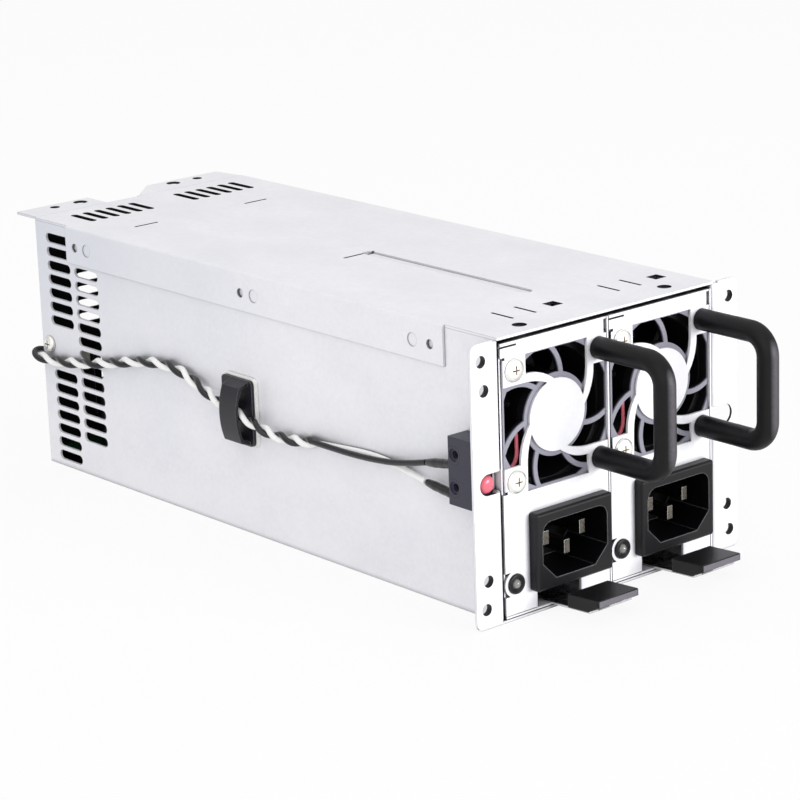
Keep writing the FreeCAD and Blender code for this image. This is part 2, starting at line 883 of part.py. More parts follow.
def rear_panel():
    """The back sheet, with the harness window, the lead's hole and two fields of slots."""
    body = new_body("RearPanel")
    sheet = new_sketch(body, "XZ_Plane", at=S.cage_depth - S.cage_sheet)
    rectangle(sheet, -WALL, S.cage_sheet, WALL, ROOF)
    pad(body, sheet, S.cage_sheet)
    window = new_sketch(body, "XZ_Plane", at=S.cage_depth - S.cage_sheet)
    half = S.harness_window_width / 2
    rectangle(window, -half, S.harness_window_bottom, half, S.harness_window_bottom + S.harness_window_height)
    circle(window, -HALF - LEAD_START[0], LEAD_START[2], S.lead_hole_radius)
    pocket(body, window)
    radius = S.vent_width / 2
    run = S.vent_length - S.vent_width
    for start in (-S.rear_vent_reach, S.rear_vent_reach - run):
        outline = new_sketch(body, "XZ_Plane")
        slot(outline, (start, S.rear_vent_low), (start + run, S.rear_vent_low), radius)
        row(body, pocket(body, outline), "V_Axis", S.vent_pitch, REAR_VENTS)
    finish(body, "rear_panel")


def rear_brackets():
    """Two angle brackets on the back, level with the lid, each with two holes."""
    back = S.cage_depth
    made = []
    for side, inner in ((-1, S.bracket_left_inner), (1, S.bracket_right_inner)):
        body = new_body("RearBracket")
        plate = new_sketch(body, "XY_Plane", at=S.cage_height - S.cage_sheet)
        outer = HALF - S.bracket_inset
        if side < 0:
            points = [(-outer, back), (-inner, back), (-inner, back + S.bracket_reach),
                      (-outer, back + S.bracket_reach)]
        else:
            points = [(-inner, back), (outer, back), (outer - S.bracket_taper, back + S.bracket_reach),
                      (inner + S.bracket_slant, back + S.bracket_reach)]
        polygon(plate, points)
        pad(body, plate, S.cage_sheet)
        leg = new_sketch(body, "XZ_Plane", at=back)
        low = S.cage_height - S.bracket_leg
        start = -outer if side < 0 else -inner
        end = -inner if side < 0 else outer
        rectangle(leg, start, low, end, S.cage_height)
        pad(body, leg, S.cage_sheet)
        holes = new_sketch(body, "XY_Plane", at=S.cage_height)
        circle(holes, side * S.bracket_small_x, back + S.bracket_hole_row, S.bracket_small_hole)
        circle(holes, side * S.bracket_large_x, back + S.bracket_hole_row, S.bracket_large_hole)
        pocket(body, holes, S.cage_sheet, plus=False)
        made.append(body)
    finish(group(*made), "rear_brackets")


def harness_grommet():
    """A moulded frame that lines the harness window, with a lip on each face."""
    half = S.harness_window_width / 2
    low = S.harness_window_bottom
    tall = S.harness_window_height
    back = S.cage_depth - S.cage_sheet
    sleeve = box(-half, back, low, S.harness_window_width, S.cage_sheet, tall)
    lips = []
    for start in (back - S.grommet_lip, S.cage_depth):
        lips.append(box(-half - S.grommet_lip, start, low - S.grommet_lip,
                        S.harness_window_width + 2 * S.grommet_lip, S.grommet_lip, tall + 2 * S.grommet_lip))
    hole = box(-half + S.grommet_wall, back - 2 * S.grommet_lip, low + S.grommet_wall,
               S.harness_window_width - 2 * S.grommet_wall, 4 * S.grommet_lip + S.cage_sheet,
               tall - 2 * S.grommet_wall)
    finish(cut(fuse(sleeve, *lips), hole), "harness_grommet")


def pan_head(x, y, z, along, side, radius, height, shank_radius, shank_length):
    """A screw: a tapered head outside and a shank that goes the other way."""
    tip = radius * SCREW_TAPER
    if along == "x":
        ends = (radius, tip) if side > 0 else (tip, radius)
        head = cone("x", x if side > 0 else x - height, y, z, *ends, height)
        shank = rod("x", x - shank_length if side > 0 else x, y, z, shank_radius, shank_length)
    else:
        head = cone("y", x, y - height, z, tip, radius, height)
        shank = rod("y", x, y, z, shank_radius, shank_length)
    return fuse(head, shank)


def cage_screws():
    """The screw in each side wall that holds the rear chamber's bracket."""
    screws = []
    for side in (-1, 1):
        screws.append(pan_head(side * HALF, S.cage_depth - S.rear_screw_inset, S.rear_screw_height, "x", side,
                               S.rear_screw_head, S.rear_screw_rise, S.rear_screw_radius,
                               S.cage_sheet + S.rear_screw_reach))
    finish(group(*screws), "cage_screws")


def rear_chamber():
    """The board that the modules plug into, and what stands behind it."""
    plane = S.backplane_y
    board_low = S.cage_sheet + S.backplane_low
    wide = 2 * WALL
    board = box(-WALL, plane, board_low, wide, S.board_sheet, ROOF - S.backplane_drop - board_low)
    openings = []
    for column in (-1, 1):
        for level in (0, 1):
            openings.append(box(column * MODULE_PITCH / 2 - S.board_opening_width / 2, plane - OVERRUN,
                                S.board_opening_low + level * S.board_opening_pitch, S.board_opening_width,
                                S.board_sheet + 2 * OVERRUN, S.board_opening_height))
    finish(cut(board, *openings), "backplane_board")
    sockets = []
    hollow_wide = S.plug_width + 2 * S.socket_side_room
    hollow_low = S.plug_low - S.plug_room
    hollow_tall = S.plug_height + 2 * S.plug_room
    shell_wide = hollow_wide + 2 * S.socket_side_wall
    for side in (-1, 1):
        middle = side * MODULE_PITCH / 2
        shell = box(middle - shell_wide / 2, plane - S.socket_depth, hollow_low - S.socket_rim, shell_wide,
                    S.socket_depth, hollow_tall + 2 * S.socket_rim)
        hollow = box(middle - hollow_wide / 2, plane - S.socket_depth - OVERRUN, hollow_low, hollow_wide,
                     S.socket_depth, hollow_tall)
        sockets.append(cut(shell, hollow))
    finish(group(*sockets), "module_sockets")
    floor = S.cage_sheet + S.shelf_height
    start = plane + S.board_sheet
    length = S.cage_depth - S.cage_sheet - start - S.shelf_room
    shelf = box(-WALL + S.shelf_room, start, floor, wide - 2 * S.shelf_room, length, S.board_sheet)
    feet = [rod("z", column * S.foot_x, start + level, S.cage_sheet, S.foot_radius, S.shelf_height)
            for column in (-1, 1) for level in (S.foot_front, S.foot_back)]
    finish(fuse(shelf, *feet), "output_board")
    top = floor + S.board_sheet
    cans = [rod("z", column, start + S.can_back, top, S.can_radius, S.can_height)
            for column in (-S.can_outer_x, -S.can_inner_x, S.can_inner_x, S.can_outer_x)]
    cans += [rod("z", column, start + S.small_can_back, top, S.small_can_radius, S.small_can_height)
             for column in (-S.small_can_x, S.small_can_x)]
    finish(group(*cans), "output_capacitors")
    buzzer = rod("z", 0, start + S.buzzer_back, top, S.buzzer_radius, S.buzzer_height)
    sound_hole = rod("z", 0, start + S.buzzer_back, top + S.buzzer_height - S.buzzer_hole_depth, S.buzzer_hole,
                     S.buzzer_hole_depth + OVERRUN)
    finish(cut(buzzer, sound_hole), "alarm_buzzer")


# The alarm switch and its lead


def alarm_switch():
    """A sub-miniature snap switch behind the left ear, worked by the red button."""
    outer = -HALF - S.switch_spacer - S.switch_thickness
    low = S.switch_centre_height - S.switch_length / 2
    body = new_body("AlarmSwitch")
    face = new_sketch(body, "YZ_Plane", at=outer)
    rectangle(face, S.switch_front, low, S.switch_front + S.switch_width, low + S.switch_length)
    pad(body, face, S.switch_thickness)
    holes = new_sketch(body, "YZ_Plane", at=outer)
    recess = new_sketch(body, "YZ_Plane", at=outer)
    line = S.switch_front + S.switch_hole_line
    for side in (-1, 1):
        height = S.switch_centre_height + side * S.switch_holes_apart / 2
        circle(holes, line, height, S.switch_hole_radius)
        circle(recess, line, height, S.switch_recess_radius)
    pocket(body, holes, S.switch_thickness)
    pocket(body, recess, S.switch_recess_depth)
    well = new_sketch(body, "XZ_Plane", at=S.switch_front)
    circle(well, -BUTTON_X, BUTTON_HEIGHT, S.switch_well_radius)
    pocket(body, well, S.switch_well_depth)
    finish(body, "alarm_switch")
    tabs = []
    back = S.switch_front + S.switch_width
    for shift in (-S.terminal_drop, S.terminal_shift, S.terminal_rise):
        tabs.append(box(outer + (S.switch_thickness - S.terminal_width) / 2, back,
                        S.switch_centre_height + shift - S.terminal_sheet / 2, S.terminal_width,
                        S.terminal_length, S.terminal_sheet))
    finish(group(*tabs), "switch_terminals")
    spacer = box(-HALF - S.switch_spacer, S.switch_front, low, S.switch_spacer, S.switch_width, S.switch_length)
    finish(spacer, "switch_spacer")
    cap = rod("y", -BUTTON_X, -S.button_proud, BUTTON_HEIGHT, S.button_radius, S.button_length)
    stem = rod("y", -BUTTON_X, S.stem_start, BUTTON_HEIGHT, S.stem_radius,
               S.switch_front + S.stem_depth - S.stem_start)
    finish(fuse(cap, stem), "alarm_button")


def rounded_plate(name, start, thickness, margin):
    """A plate beside the left wall with round corners, a margin inside the clip's outline."""
    body = new_body(name)
    outline = new_sketch(body, "YZ_Plane", at=start)
    rectangle(outline, S.clip_front + margin, S.clip_bottom + margin, S.clip_front + S.clip_length - margin,
              S.clip_bottom + S.clip_height - margin)
    pad(body, outline, thickness)
    doc.recompute()
    soften(body, edges_at(body.Shape, "x"), S.clip_corner)
    return body


def cable_clip():
    """An adhesive clip: a foam pad, a plate on it and a strap that arches over the lead."""
    foam_face = -HALF - S.foam_thickness
    finish(rounded_plate("FoamPad", foam_face, S.foam_thickness, as_size(0)), "clip_foam_pad")
    face = foam_face - S.clip_plate
    body = rounded_plate("CableClip", face, S.clip_plate, S.foam_margin)
    strap = new_sketch(body, "XZ_Plane", at=S.clip_front + S.strap_start)
    thin = float(S.strap_thickness)
    low = float(S.clip_bottom + 2 * S.foam_margin)
    high = float(S.clip_bottom + S.clip_height - 2 * S.foam_margin)
    outer_low, outer_high = low + float(S.strap_slope), high - float(S.strap_slope)
    out, crown = float(face - S.strap_rise), float(face - S.strap_arch)
    middle = (low + high) / 2
    corners = [flat(face, low), flat(out, outer_low), flat(out, outer_high), flat(face, high),
               flat(face, high - 1.3 * thin), flat(out + thin, outer_high - thin),
               flat(out + thin, outer_low + thin), flat(face, low + 1.3 * thin)]
    chain(strap, [
        Part.LineSegment(corners[0], corners[1]),
        Part.Arc(corners[1], flat(crown, middle), corners[2]),
        Part.LineSegment(corners[2], corners[3]),
        Part.LineSegment(corners[3], corners[4]),
        Part.LineSegment(corners[4], corners[5]),
        Part.Arc(corners[5], flat(crown + thin, middle), corners[6]),
        Part.LineSegment(corners[6], corners[7]),
        Part.LineSegment(corners[7], corners[0]),
    ])
    pad(body, strap, S.strap_width)
    finish(body, "cable_clip")


def bent_tube(points, diameter):
    """A round tube along straight runs joined by tangent arcs, and the arcs' radii."""
    route = [FreeCAD.Vector(*(float(value) for value in point)) for point in points]
    edges = []
    radii = []
    start = route[0]
    for before, corner, after in zip(route, route[1:], route[2:]):
        incoming = (corner - before).normalize()
        outgoing = (after - corner).normalize()
        half = incoming.getAngle(outgoing) / 2
        reach = 0.45 * min((corner - before).Length, (after - corner).Length)
        radii.append(reach / math.tan(half))
        enter = corner - incoming * reach
        leave = corner + outgoing * reach
        inward = (outgoing - incoming).normalize()
        centre = corner + inward * (math.hypot(reach, radii[-1]))
        middle = centre - inward * radii[-1]
        edges.append(Part.LineSegment(start, enter).toShape())
        edges.append(Part.Arc(enter, middle, leave).toShape())
        start = leave
    edges.append(Part.LineSegment(start, route[-1]).toShape())
    path = Part.Wire(edges)
    first = (route[1] - route[0]).normalize()
    section = Part.Wire(Part.Circle(route[0], first, diameter / 2).toShape())
    tube = path.makePipeShell([section], True, True)
    expected = math.pi * diameter ** 2 / 4 * path.Length
    print(f"tube d {diameter:.2f} length {path.Length:.1f} volume/expected {tube.Volume / expected:.4f}",
          "radii", [round(radius, 1) for radius in radii])
    return tube


def cord(label, points, diameter):
    thing = doc.addObject("Part::Feature", label)
    thing.Shape = bent_tube(points, float(diameter))
    finish(thing, label)


LEAD_START = (-5.4, 216.9, 37.3)

# The twisted pair's route from the header behind the rear panel, round the corner and along the
# left wall. Each point is the distance out from the wall, the distance behind the ears, the height.
LEAD_ROUTE = [
    LEAD_START,
    (-5.4, 224.8, 37.3),
    (2.7, 224.8, 37.0),
    (2.4, 214.6, 36.2),
    (2.2, 200.0, 37.9),
    (2.3, 181.0, 41.6),
    (2.5, 161.0, 46.3),
    (2.3, 145.0, 47.2),
    (2.8, 132.0, 43.2),
    (4.35, 122.0, 41.4),
    (4.35, 108.0, 38.4),
    (2.6, 93.5, 34.2),
    (2.0, 79.0, 36.8),
]
BLACK_ROUTE = [
    (2.9, 78.7, 37.3),
    (3.1, 64.0, 37.2),
    (3.2, 50.0, 37.9),
    (3.1, 38.0, 39.3),
    (3.0, 27.5, 42.0),
]
WHITE_ROUTE = [
    (1.05, 78.7, 36.3),
    (1.1, 64.5, 37.7),
    (1.1, 50.5, 38.4),
    (1.4, 38.5, 37.0),
    (2.9, 28.0, 36.2),
]


def beside_wall(route):
    """Route points measured out from the left wall, as X, Y and Z."""
    return [(-float(HALF) - out, along, height) for out, along, height in route]


def straight_tube(start, end, diameter, gap):
    """A tube between two points that stops a gap short of each."""
    start = FreeCAD.Vector(*start)
    axis = FreeCAD.Vector(*end) - start
    length = axis.Length
    axis.normalize()
    return Part.makeCylinder(diameter / 2, length - 2 * gap, start + axis * gap, axis)


def alarm_lead():
    """The twisted pair as one round tube, its two tails, and the sleeves on the terminals."""
    wire = float(S.lead_wire)
    cord("alarm_lead", beside_wall(LEAD_ROUTE), 2 * wire)
    cord("lead_black_tail", beside_wall(BLACK_ROUTE), wire)
    cord("lead_white_tail", beside_wall(WHITE_ROUTE), wire)
    tip = float(S.switch_front + S.switch_width + S.terminal_length)
    middle = float(S.switch_spacer + S.switch_thickness / 2)
    sleeves = doc.addObject("Part::Feature", "Sleeves")
    tubes = []
    for route, shift in ((BLACK_ROUTE, S.terminal_shift), (WHITE_ROUTE, -S.terminal_drop)):
        ends = beside_wall([(middle, tip, float(S.switch_centre_height + shift)), route[-1]])
        tubes.append(straight_tube(*ends, float(S.sleeve_diameter), float(S.sleeve_gap)))
    sleeves.Shape = Part.makeCompound(tubes)
    finish(sleeves, "terminal_sleeves")
    across = -HALF - LEAD_START[0]
    top = S.rear_screw_height - S.rear_screw_radius - S.running_gap
    header = box(-WALL, LEAD_START[1] - S.header_length, top - S.header_height,
                 across + S.header_height / 2 + WALL, S.header_length, S.header_height)
    finish(header, "alarm_header")


# The modules, drawn about their own middle plane and placed twice


def tray(name, x):
    """Floor, left wall and back wall in one sheet, with the posts that carry the board."""
    body = new_body("Tray")
    half, low, thin = MODULE_HALF, MODULE_BOTTOM, S.module_sheet
    lip = MODULE_TOP - thin
    angle = new_sketch(body, "XZ_Plane")
    polygon(angle, [(-half, low), (half, low), (half, low + thin), (-half + thin, low + thin),
                    (-half + thin, lip), (-half, lip)])
    pad(body, angle, S.module_depth)
    back = new_sketch(body, "XZ_Plane", at=S.module_depth - thin)
    rectangle(back, -half, low, half - thin, lip)
    pad(body, back, thin)
    front = new_sketch(body, "XZ_Plane")
    rectangle(front, -half, MODULE_FLOOR, -half + thin, lip)
    pocket(body, front, S.panel_sheet)
    posts = new_sketch(body, "YZ_Plane", at=-half + thin)
    for along in (S.board_front + S.post_inset, S.board_back - S.post_inset):
        for height in (MODULE_FLOOR + S.post_low, MODULE_TOP - S.post_drop):
            circle(posts, along, height, S.post_radius)
    pad(body, posts, S.board_standoff)
    window = new_sketch(body, "XZ_Plane", at=S.module_depth)
    rectangle(window, -S.plug_width / 2 - S.plug_room, S.plug_low - S.plug_room,
              S.plug_width / 2 + S.plug_room, S.plug_low + S.plug_height + S.plug_room)
    vent_half = S.tray_vent_width / 2
    for column in (-S.tray_vent_x, S.tray_vent_x):
        rectangle(window, column - vent_half, S.tray_vent_low, column + vent_half, MODULE_TOP - S.tray_vent_drop)
    pocket(body, window, 2 * thin, plus=False)
    slit = new_sketch(body, "XY_Plane", at=low)
    edge = S.tooth_width / 2 + S.running_gap
    rectangle(slit, S.latch_x - edge, S.tooth_front - S.running_gap, S.latch_x + edge,
              S.tooth_back + S.running_gap)
    pocket(body, slit, thin)
    finish(body, name + "_tray", x)


def module_cover(name, x):
    """Top and right wall, with a window where the fan fills the module's width."""
    body = new_body("ModuleCover")
    half, thin = MODULE_HALF, S.module_sheet
    side = new_sketch(body, "XZ_Plane")
    rectangle(side, half - thin, MODULE_FLOOR, half, MODULE_TOP)
    pad(body, side, S.module_depth)
    top = new_sketch(body, "XZ_Plane", at=S.panel_return)
    rectangle(top, -half, MODULE_TOP - thin, half - thin, MODULE_TOP)
    pad(body, top, S.module_depth - S.panel_return)
    window = new_sketch(body, "YZ_Plane", at=half)
    reach = S.fan_size / 2 + S.window_room
    rectangle(window, S.panel_sheet, S.fan_height - reach, S.panel_sheet + S.fan_depth + S.window_room,
              S.fan_height + reach)
    pocket(body, window, thin, plus=False)
    finish(body, name + "_cover", x)


def swirl(body, reach):
    """One opening between two of the guard's swept arms, about the fan's own axis."""
    outline = new_sketch(body, "XZ_Plane", centre=(S.fan_shift, S.fan_height))
    half, root, disc = float(S.guard_half), float(S.guard_root), float(S.guard_disc)
    tip_turn, root_turn = math.radians(float(S.guard_tip_turn)), math.radians(float(S.guard_root_turn))

    def on_disc(turn):
        return flat(disc * math.cos(turn), disc * math.sin(turn))

    corner = flat(half, reach)
    shoulder = flat(half, 0.86 * root)
    tip, foot = on_disc(tip_turn), on_disc(root_turn)
    low_left, high_left = flat(-half, root), flat(-half, reach)
    chain(outline, [
        Part.LineSegment(high_left, corner),
        Part.LineSegment(corner, shoulder),
        Part.Arc(shoulder, flat(0.957 * half, 0.54 * root), tip),
        Part.Arc(tip, on_disc((tip_turn + root_turn) / 2), foot),
        Part.Arc(foot, flat(-0.53 * half, 0.945 * root), low_left),
        Part.LineSegment(low_left, high_left),
    ])
    return outline


def front_panel(name, x):
    """The module's face: guard, inlet and latch windows, lamp boss and the relieved left edge."""
    body = new_body("FrontPanel")
    left, right = -MODULE_HALF, MODULE_HALF - S.panel_strip
    low = MODULE_FLOOR + S.panel_floor_gap
    face = new_sketch(body, "XZ_Plane")
    rectangle(face, left, low, right, MODULE_TOP)
    pad(body, face, S.panel_sheet)
    fold = new_sketch(body, "XZ_Plane", at=S.panel_sheet)
    rectangle(fold, left, MODULE_TOP - S.module_sheet, right, MODULE_TOP)
    pad(body, fold, S.panel_return - S.panel_sheet - S.panel_lap_gap)
    cuts = new_sketch(body, "XZ_Plane")
    top, bottom = S.fan_height + S.relief_rise, S.fan_height - S.relief_drop
    relief = S.panel_relief
    rectangle(cuts, left, bottom, left + relief, top)
    rectangle(cuts, left + relief, bottom, left + 2 * relief, bottom + relief)
    rectangle(cuts, left + relief, top - relief, left + 2 * relief, top)
    rectangle(cuts, left, S.lamp_height - S.lamp_notch_drop, left + S.lamp_notch_width,
              S.lamp_height + S.lamp_notch_rise)
    rectangle(cuts, right - S.corner_notch_width, MODULE_TOP - S.corner_notch_height, right,
              MODULE_TOP - S.module_sheet)
    pocket(body, cuts, S.panel_sheet)
    slit = new_sketch(body, "XZ_Plane")
    slit_top = MODULE_TOP - S.slit_drop
    rectangle(slit, left, slit_top - S.slit_width, left + S.slit_length, slit_top)
    pocket(body, slit, S.panel_sheet)
    boss = new_sketch(body, "XZ_Plane")
    circle(boss, -S.lamp_x, S.lamp_height, S.lamp_boss_radius)
    pad(body, boss, S.panel_sheet)
    holes = new_sketch(body, "XZ_Plane")
    circle(holes, -S.lamp_x, S.lamp_height, S.lamp_barrel)
    for side in (-1, 1):
        for level in (-1, 1):
            circle(holes, S.fan_shift + side * FAN_PIN, S.fan_height + level * FAN_PIN, S.fan_hole_radius)
    inlet_half = S.inlet_body_width / 2 + S.inlet_room
    inlet_rise = S.inlet_body_height / 2 + S.inlet_room
    rectangle(holes, S.inlet_x - inlet_half, S.inlet_height - inlet_rise, S.inlet_x + inlet_half,
              S.inlet_height + inlet_rise)
    latch_half = S.latch_window_width / 2
    rectangle(holes, S.latch_window_x - latch_half, low - OVERRUN, S.latch_window_x + latch_half,
              S.latch_window_top)
    pocket(body, holes, S.panel_sheet)
    for reach, turn in ((S.guard_reach, 0), (MODULE_HALF + OVERRUN, 90)):
        outline = swirl(body, float(reach))
        outline.AttachmentOffset = FreeCAD.Placement(
            outline.AttachmentOffset.Base, FreeCAD.Rotation(FreeCAD.Vector(0, 0, 1), turn))
        ring(body, pocket(body, outline, S.panel_sheet), outline, 2)
    finish(body, name + "_front_panel", x)


def handle(name, x):
    """A bent rod whose two legs end in studs that pass through the panel into the fan."""
    body = new_body("Handle")
    path = new_sketch(body, "YZ_Plane")
    reach, rise, bend = float(S.handle_reach), float(FAN_PIN), float(S.handle_bend)
    out, along = -(reach - bend), rise - bend
    slant = bend * math.sqrt(0.5)
    upper = flat(out, along)
    lower = flat(out, -along)
    chain(path, [
        Part.LineSegment(flat(0, rise), flat(out, rise)),
        Part.Arc(flat(out, rise), upper + flat(-slant, slant), flat(-reach, along)),
        Part.LineSegment(flat(-reach, along), flat(-reach, -along)),
        Part.Arc(flat(-reach, -along), lower + flat(-slant, -slant), flat(out, -rise)),
        Part.LineSegment(flat(out, -rise), flat(0, -rise)),
    ])
    section = new_sketch(body, "XZ_Plane")
    circle(section, 0, FAN_PIN, S.handle_radius)
    pipe = body.newObject("PartDesign::AdditivePipe", "Rod")
    pipe.Profile = section
    pipe.Spine = (path, [f"Edge{number}" for number in range(1, 6)])
    body.Tip = pipe
    studs = new_sketch(body, "XZ_Plane")
    for level in (-1, 1):
        circle(studs, 0, level * FAN_PIN, S.stud_radius)
    pad(body, studs, S.stud_length)
    finish(body, name + "_handle", x + S.fan_shift + FAN_PIN, S.fan_height)


def fan_frame(name, x):
    """The fan's square housing: flared bore, motor mount and seven swept struts."""
    body = new_body("FanFrame")
    half = S.fan_size / 2
    start = S.panel_sheet
    square = new_sketch(body, "XZ_Plane", at=start)
    rectangle(square, -half, -half, half, half)
    pad(body, square, S.fan_depth)
    bore = new_sketch(body, "XZ_Plane", at=start)
    circle(bore, 0, 0, S.fan_bore)
    pocket(body, bore, S.fan_depth)
    flare = new_sketch(body, "XZ_Plane", at=start)
    radius, side = float(S.fan_flare), float(half - S.fan_wall)
    cross = math.sqrt(radius ** 2 - side ** 2)
    curves = []
    for quarter in range(4):
        spin = FreeCAD.Rotation(FreeCAD.Vector(0, 0, 1), 90 * quarter)
        low, high = spin.multVec(flat(side, -cross)), spin.multVec(flat(side, cross))
        bulge = spin.multVec(flat(radius * math.sqrt(0.5), radius * math.sqrt(0.5)))
        after = spin.multVec(flat(cross, side))
        curves += [Part.LineSegment(low, high), Part.Arc(high, bulge, after)]
    chain(flare, curves)
    pocket(body, flare, S.flare_depth)
    mount = new_sketch(body, "XZ_Plane", at=start)
    circle(mount, 0, 0, S.mount_radius)
    pad(body, mount, S.mount_depth)
    bearing = new_sketch(body, "XZ_Plane", at=start + S.mount_depth)
    circle(bearing, 0, 0, S.shaft_radius + S.bearing_gap)
    pocket(body, bearing, S.mount_depth - S.bearing_floor, plus=False)
    strut = new_sketch(body, "XZ_Plane", at=start)
    chain(strut, strut_outline())
    ring(body, pad(body, strut, S.strut_depth), strut, BLADES)
    trim = new_sketch(body, "XZ_Plane", at=start)
    beyond = half + S.strut_width + OVERRUN
    rectangle(trim, -beyond, -beyond, beyond, beyond)
    rectangle(trim, -half, -half, half, half)
    pocket(body, trim, S.strut_depth)
    channel = new_sketch(body, "XZ_Plane", at=start + S.strut_depth)
    rectangle(channel, -half, -S.lead_notch_low, -half + S.fan_wire + S.fan_wire_room, -S.lead_notch_high)
    pocket(body, channel, S.fan_depth - S.strut_depth)
    notch = new_sketch(body, "XZ_Plane", at=start + S.strut_depth)
    rectangle(notch, -half, -S.lead_notch_low, -S.lead_notch_reach, -S.lead_notch_high)
    pocket(body, notch, S.flare_depth - S.strut_depth + S.lead_notch_extra)
    holes = new_sketch(body, "XZ_Plane", at=start)
    for side in (-1, 1):
        for level in (-1, 1):
            circle(holes, side * FAN_PIN, level * FAN_PIN, S.fan_hole_radius)
    pocket(body, holes, S.fan_depth)
    finish(body, name + "_fan_frame", x + S.fan_shift, S.fan_height)


def strut_outline():
    """A curved bar from the motor mount to the housing's wall, swept round as it goes out."""
    inner, outer = float(S.mount_radius) - 0.6, float(S.fan_flare) + 0.4
    turn, sweep, half = float(S.strut_turn), float(S.strut_sweep), float(S.strut_width) / 2

    def spot(radius, degrees):
        return flat(radius * math.cos(math.radians(degrees)), radius * math.sin(math.radians(degrees)))

    start, middle, end = spot(inner, turn), spot((inner + outer) / 2, turn + 0.4 * sweep), spot(outer, turn + sweep)
    through = Part.Circle(start, middle, end)
    centre, radius = through.Center, through.Radius

    def shifted(point, distance):
        return centre + (point - centre).normalize() * (radius + distance)

    near = [shifted(point, -half) for point in (start, middle, end)]
    far = [shifted(point, half) for point in (start, middle, end)]
    return [
        Part.Arc(*near),
        Part.LineSegment(near[2], far[2]),
        Part.Arc(far[2], far[1], far[0]),
        Part.LineSegment(far[0], near[0]),
    ]


def fan_rotor(name, x):
    """Hub, shaft and seven twisted blades, all turned about the shaft."""
    body = new_body("FanRotor")
    start = S.panel_sheet + S.mount_depth + S.rotor_gap
    hub = new_sketch(body, "XZ_Plane", at=start)
    circle(hub, 0, 0, S.rotor_hub)
    pad(body, hub, S.rotor_length)
    shaft = new_sketch(body, "XZ_Plane", at=start)
    circle(shaft, 0, 0, S.shaft_radius)
    pad(body, shaft, S.rotor_gap + S.mount_depth - S.shaft_gap, plus=False)
    middle = start + S.rotor_length / 2
    sections = []
    for radius, degrees in ((S.rotor_hub - S.blade_root_sink, S.blade_root_turn), (S.rotor_tip, S.blade_tip_turn)):
        section = new_sketch(body, "XY_Plane", at=radius)
        sine, cosine = math.sin(math.radians(float(degrees))), math.cos(math.radians(float(degrees)))
        along, across = S.blade_chord / 2, S.blade_thickness / 2
        corners = [(side * along, face * across) for side, face in ((-1, -1), (1, -1), (1, 1), (-1, 1))]
        polygon(section, [(a * sine + c * cosine, middle + a * cosine - c * sine) for a, c in corners])
        sections.append(section)
    blade = body.newObject("PartDesign::AdditiveLoft", "Blade")
    blade.Profile = sections[0]
    blade.Sections = sections[1:]
    blade.Ruled = True
    body.Tip = blade
    blades = body.newObject("PartDesign::PolarPattern", "Blades")
    blades.Originals = [blade]
    axis = next(item for item in body.Origin.OriginFeatures if item.Role == "Y_Axis")
    blades.Axis = (axis, [""])
    blades.Angle = 360
    blades.Occurrences = BLADES
    body.Tip = blades
    finish(body, name + "_fan_rotor", x + S.fan_shift, S.fan_height)


# The fan lead's route from the motor down beside the mount, out through the frame's notch and back
# along its side. Each point is the distance right of the fan's axis, behind the panel, above the axis.
FAN_ROUTE = [
    (-12.9, 2.4, -3.4),
    (-12.8, 2.4, -6.6),
    (-12.8, 2.4, -9.6),
    (-13.9, 2.4, -12.2),
    (-16.4, 2.4, -13.2),
    (-19.35, 2.8, -13.3),
    (-19.35, 7.0, -13.1),
    (-19.35, 13.4, -12.9),
    (-19.35, 20.4, -13.1),
    (-19.35, 26.0, -12.9),
    (-18.55, 29.3, -12.7),
    (-16.56, 30.9, -12.6),
]


def fan_lead(name, x):
    """The fan's lead, a single visible wire."""
    lead = doc.addObject("Part::Feature", "FanLead")
    lead.Shape = bent_tube([(a, float(S.panel_sheet) + b, c) for a, b, c in FAN_ROUTE], float(S.fan_wire))
    finish(lead, name + "_fan_lead", x + S.fan_shift, S.fan_height)


def fan_screws(name, x):
    """Two pan head screws through the panel into the fan's left holes."""
    heads = []
    for level in (-1, 1):
        heads.append(pan_head(-FAN_PIN, as_size(0), level * FAN_PIN, "y", -1, S.fan_screw_head,
                              S.fan_screw_rise, S.fan_screw_radius, S.panel_sheet + S.fan_screw_reach))
    finish(group(*heads), name + "_fan_screws", x + S.fan_shift, S.fan_height)


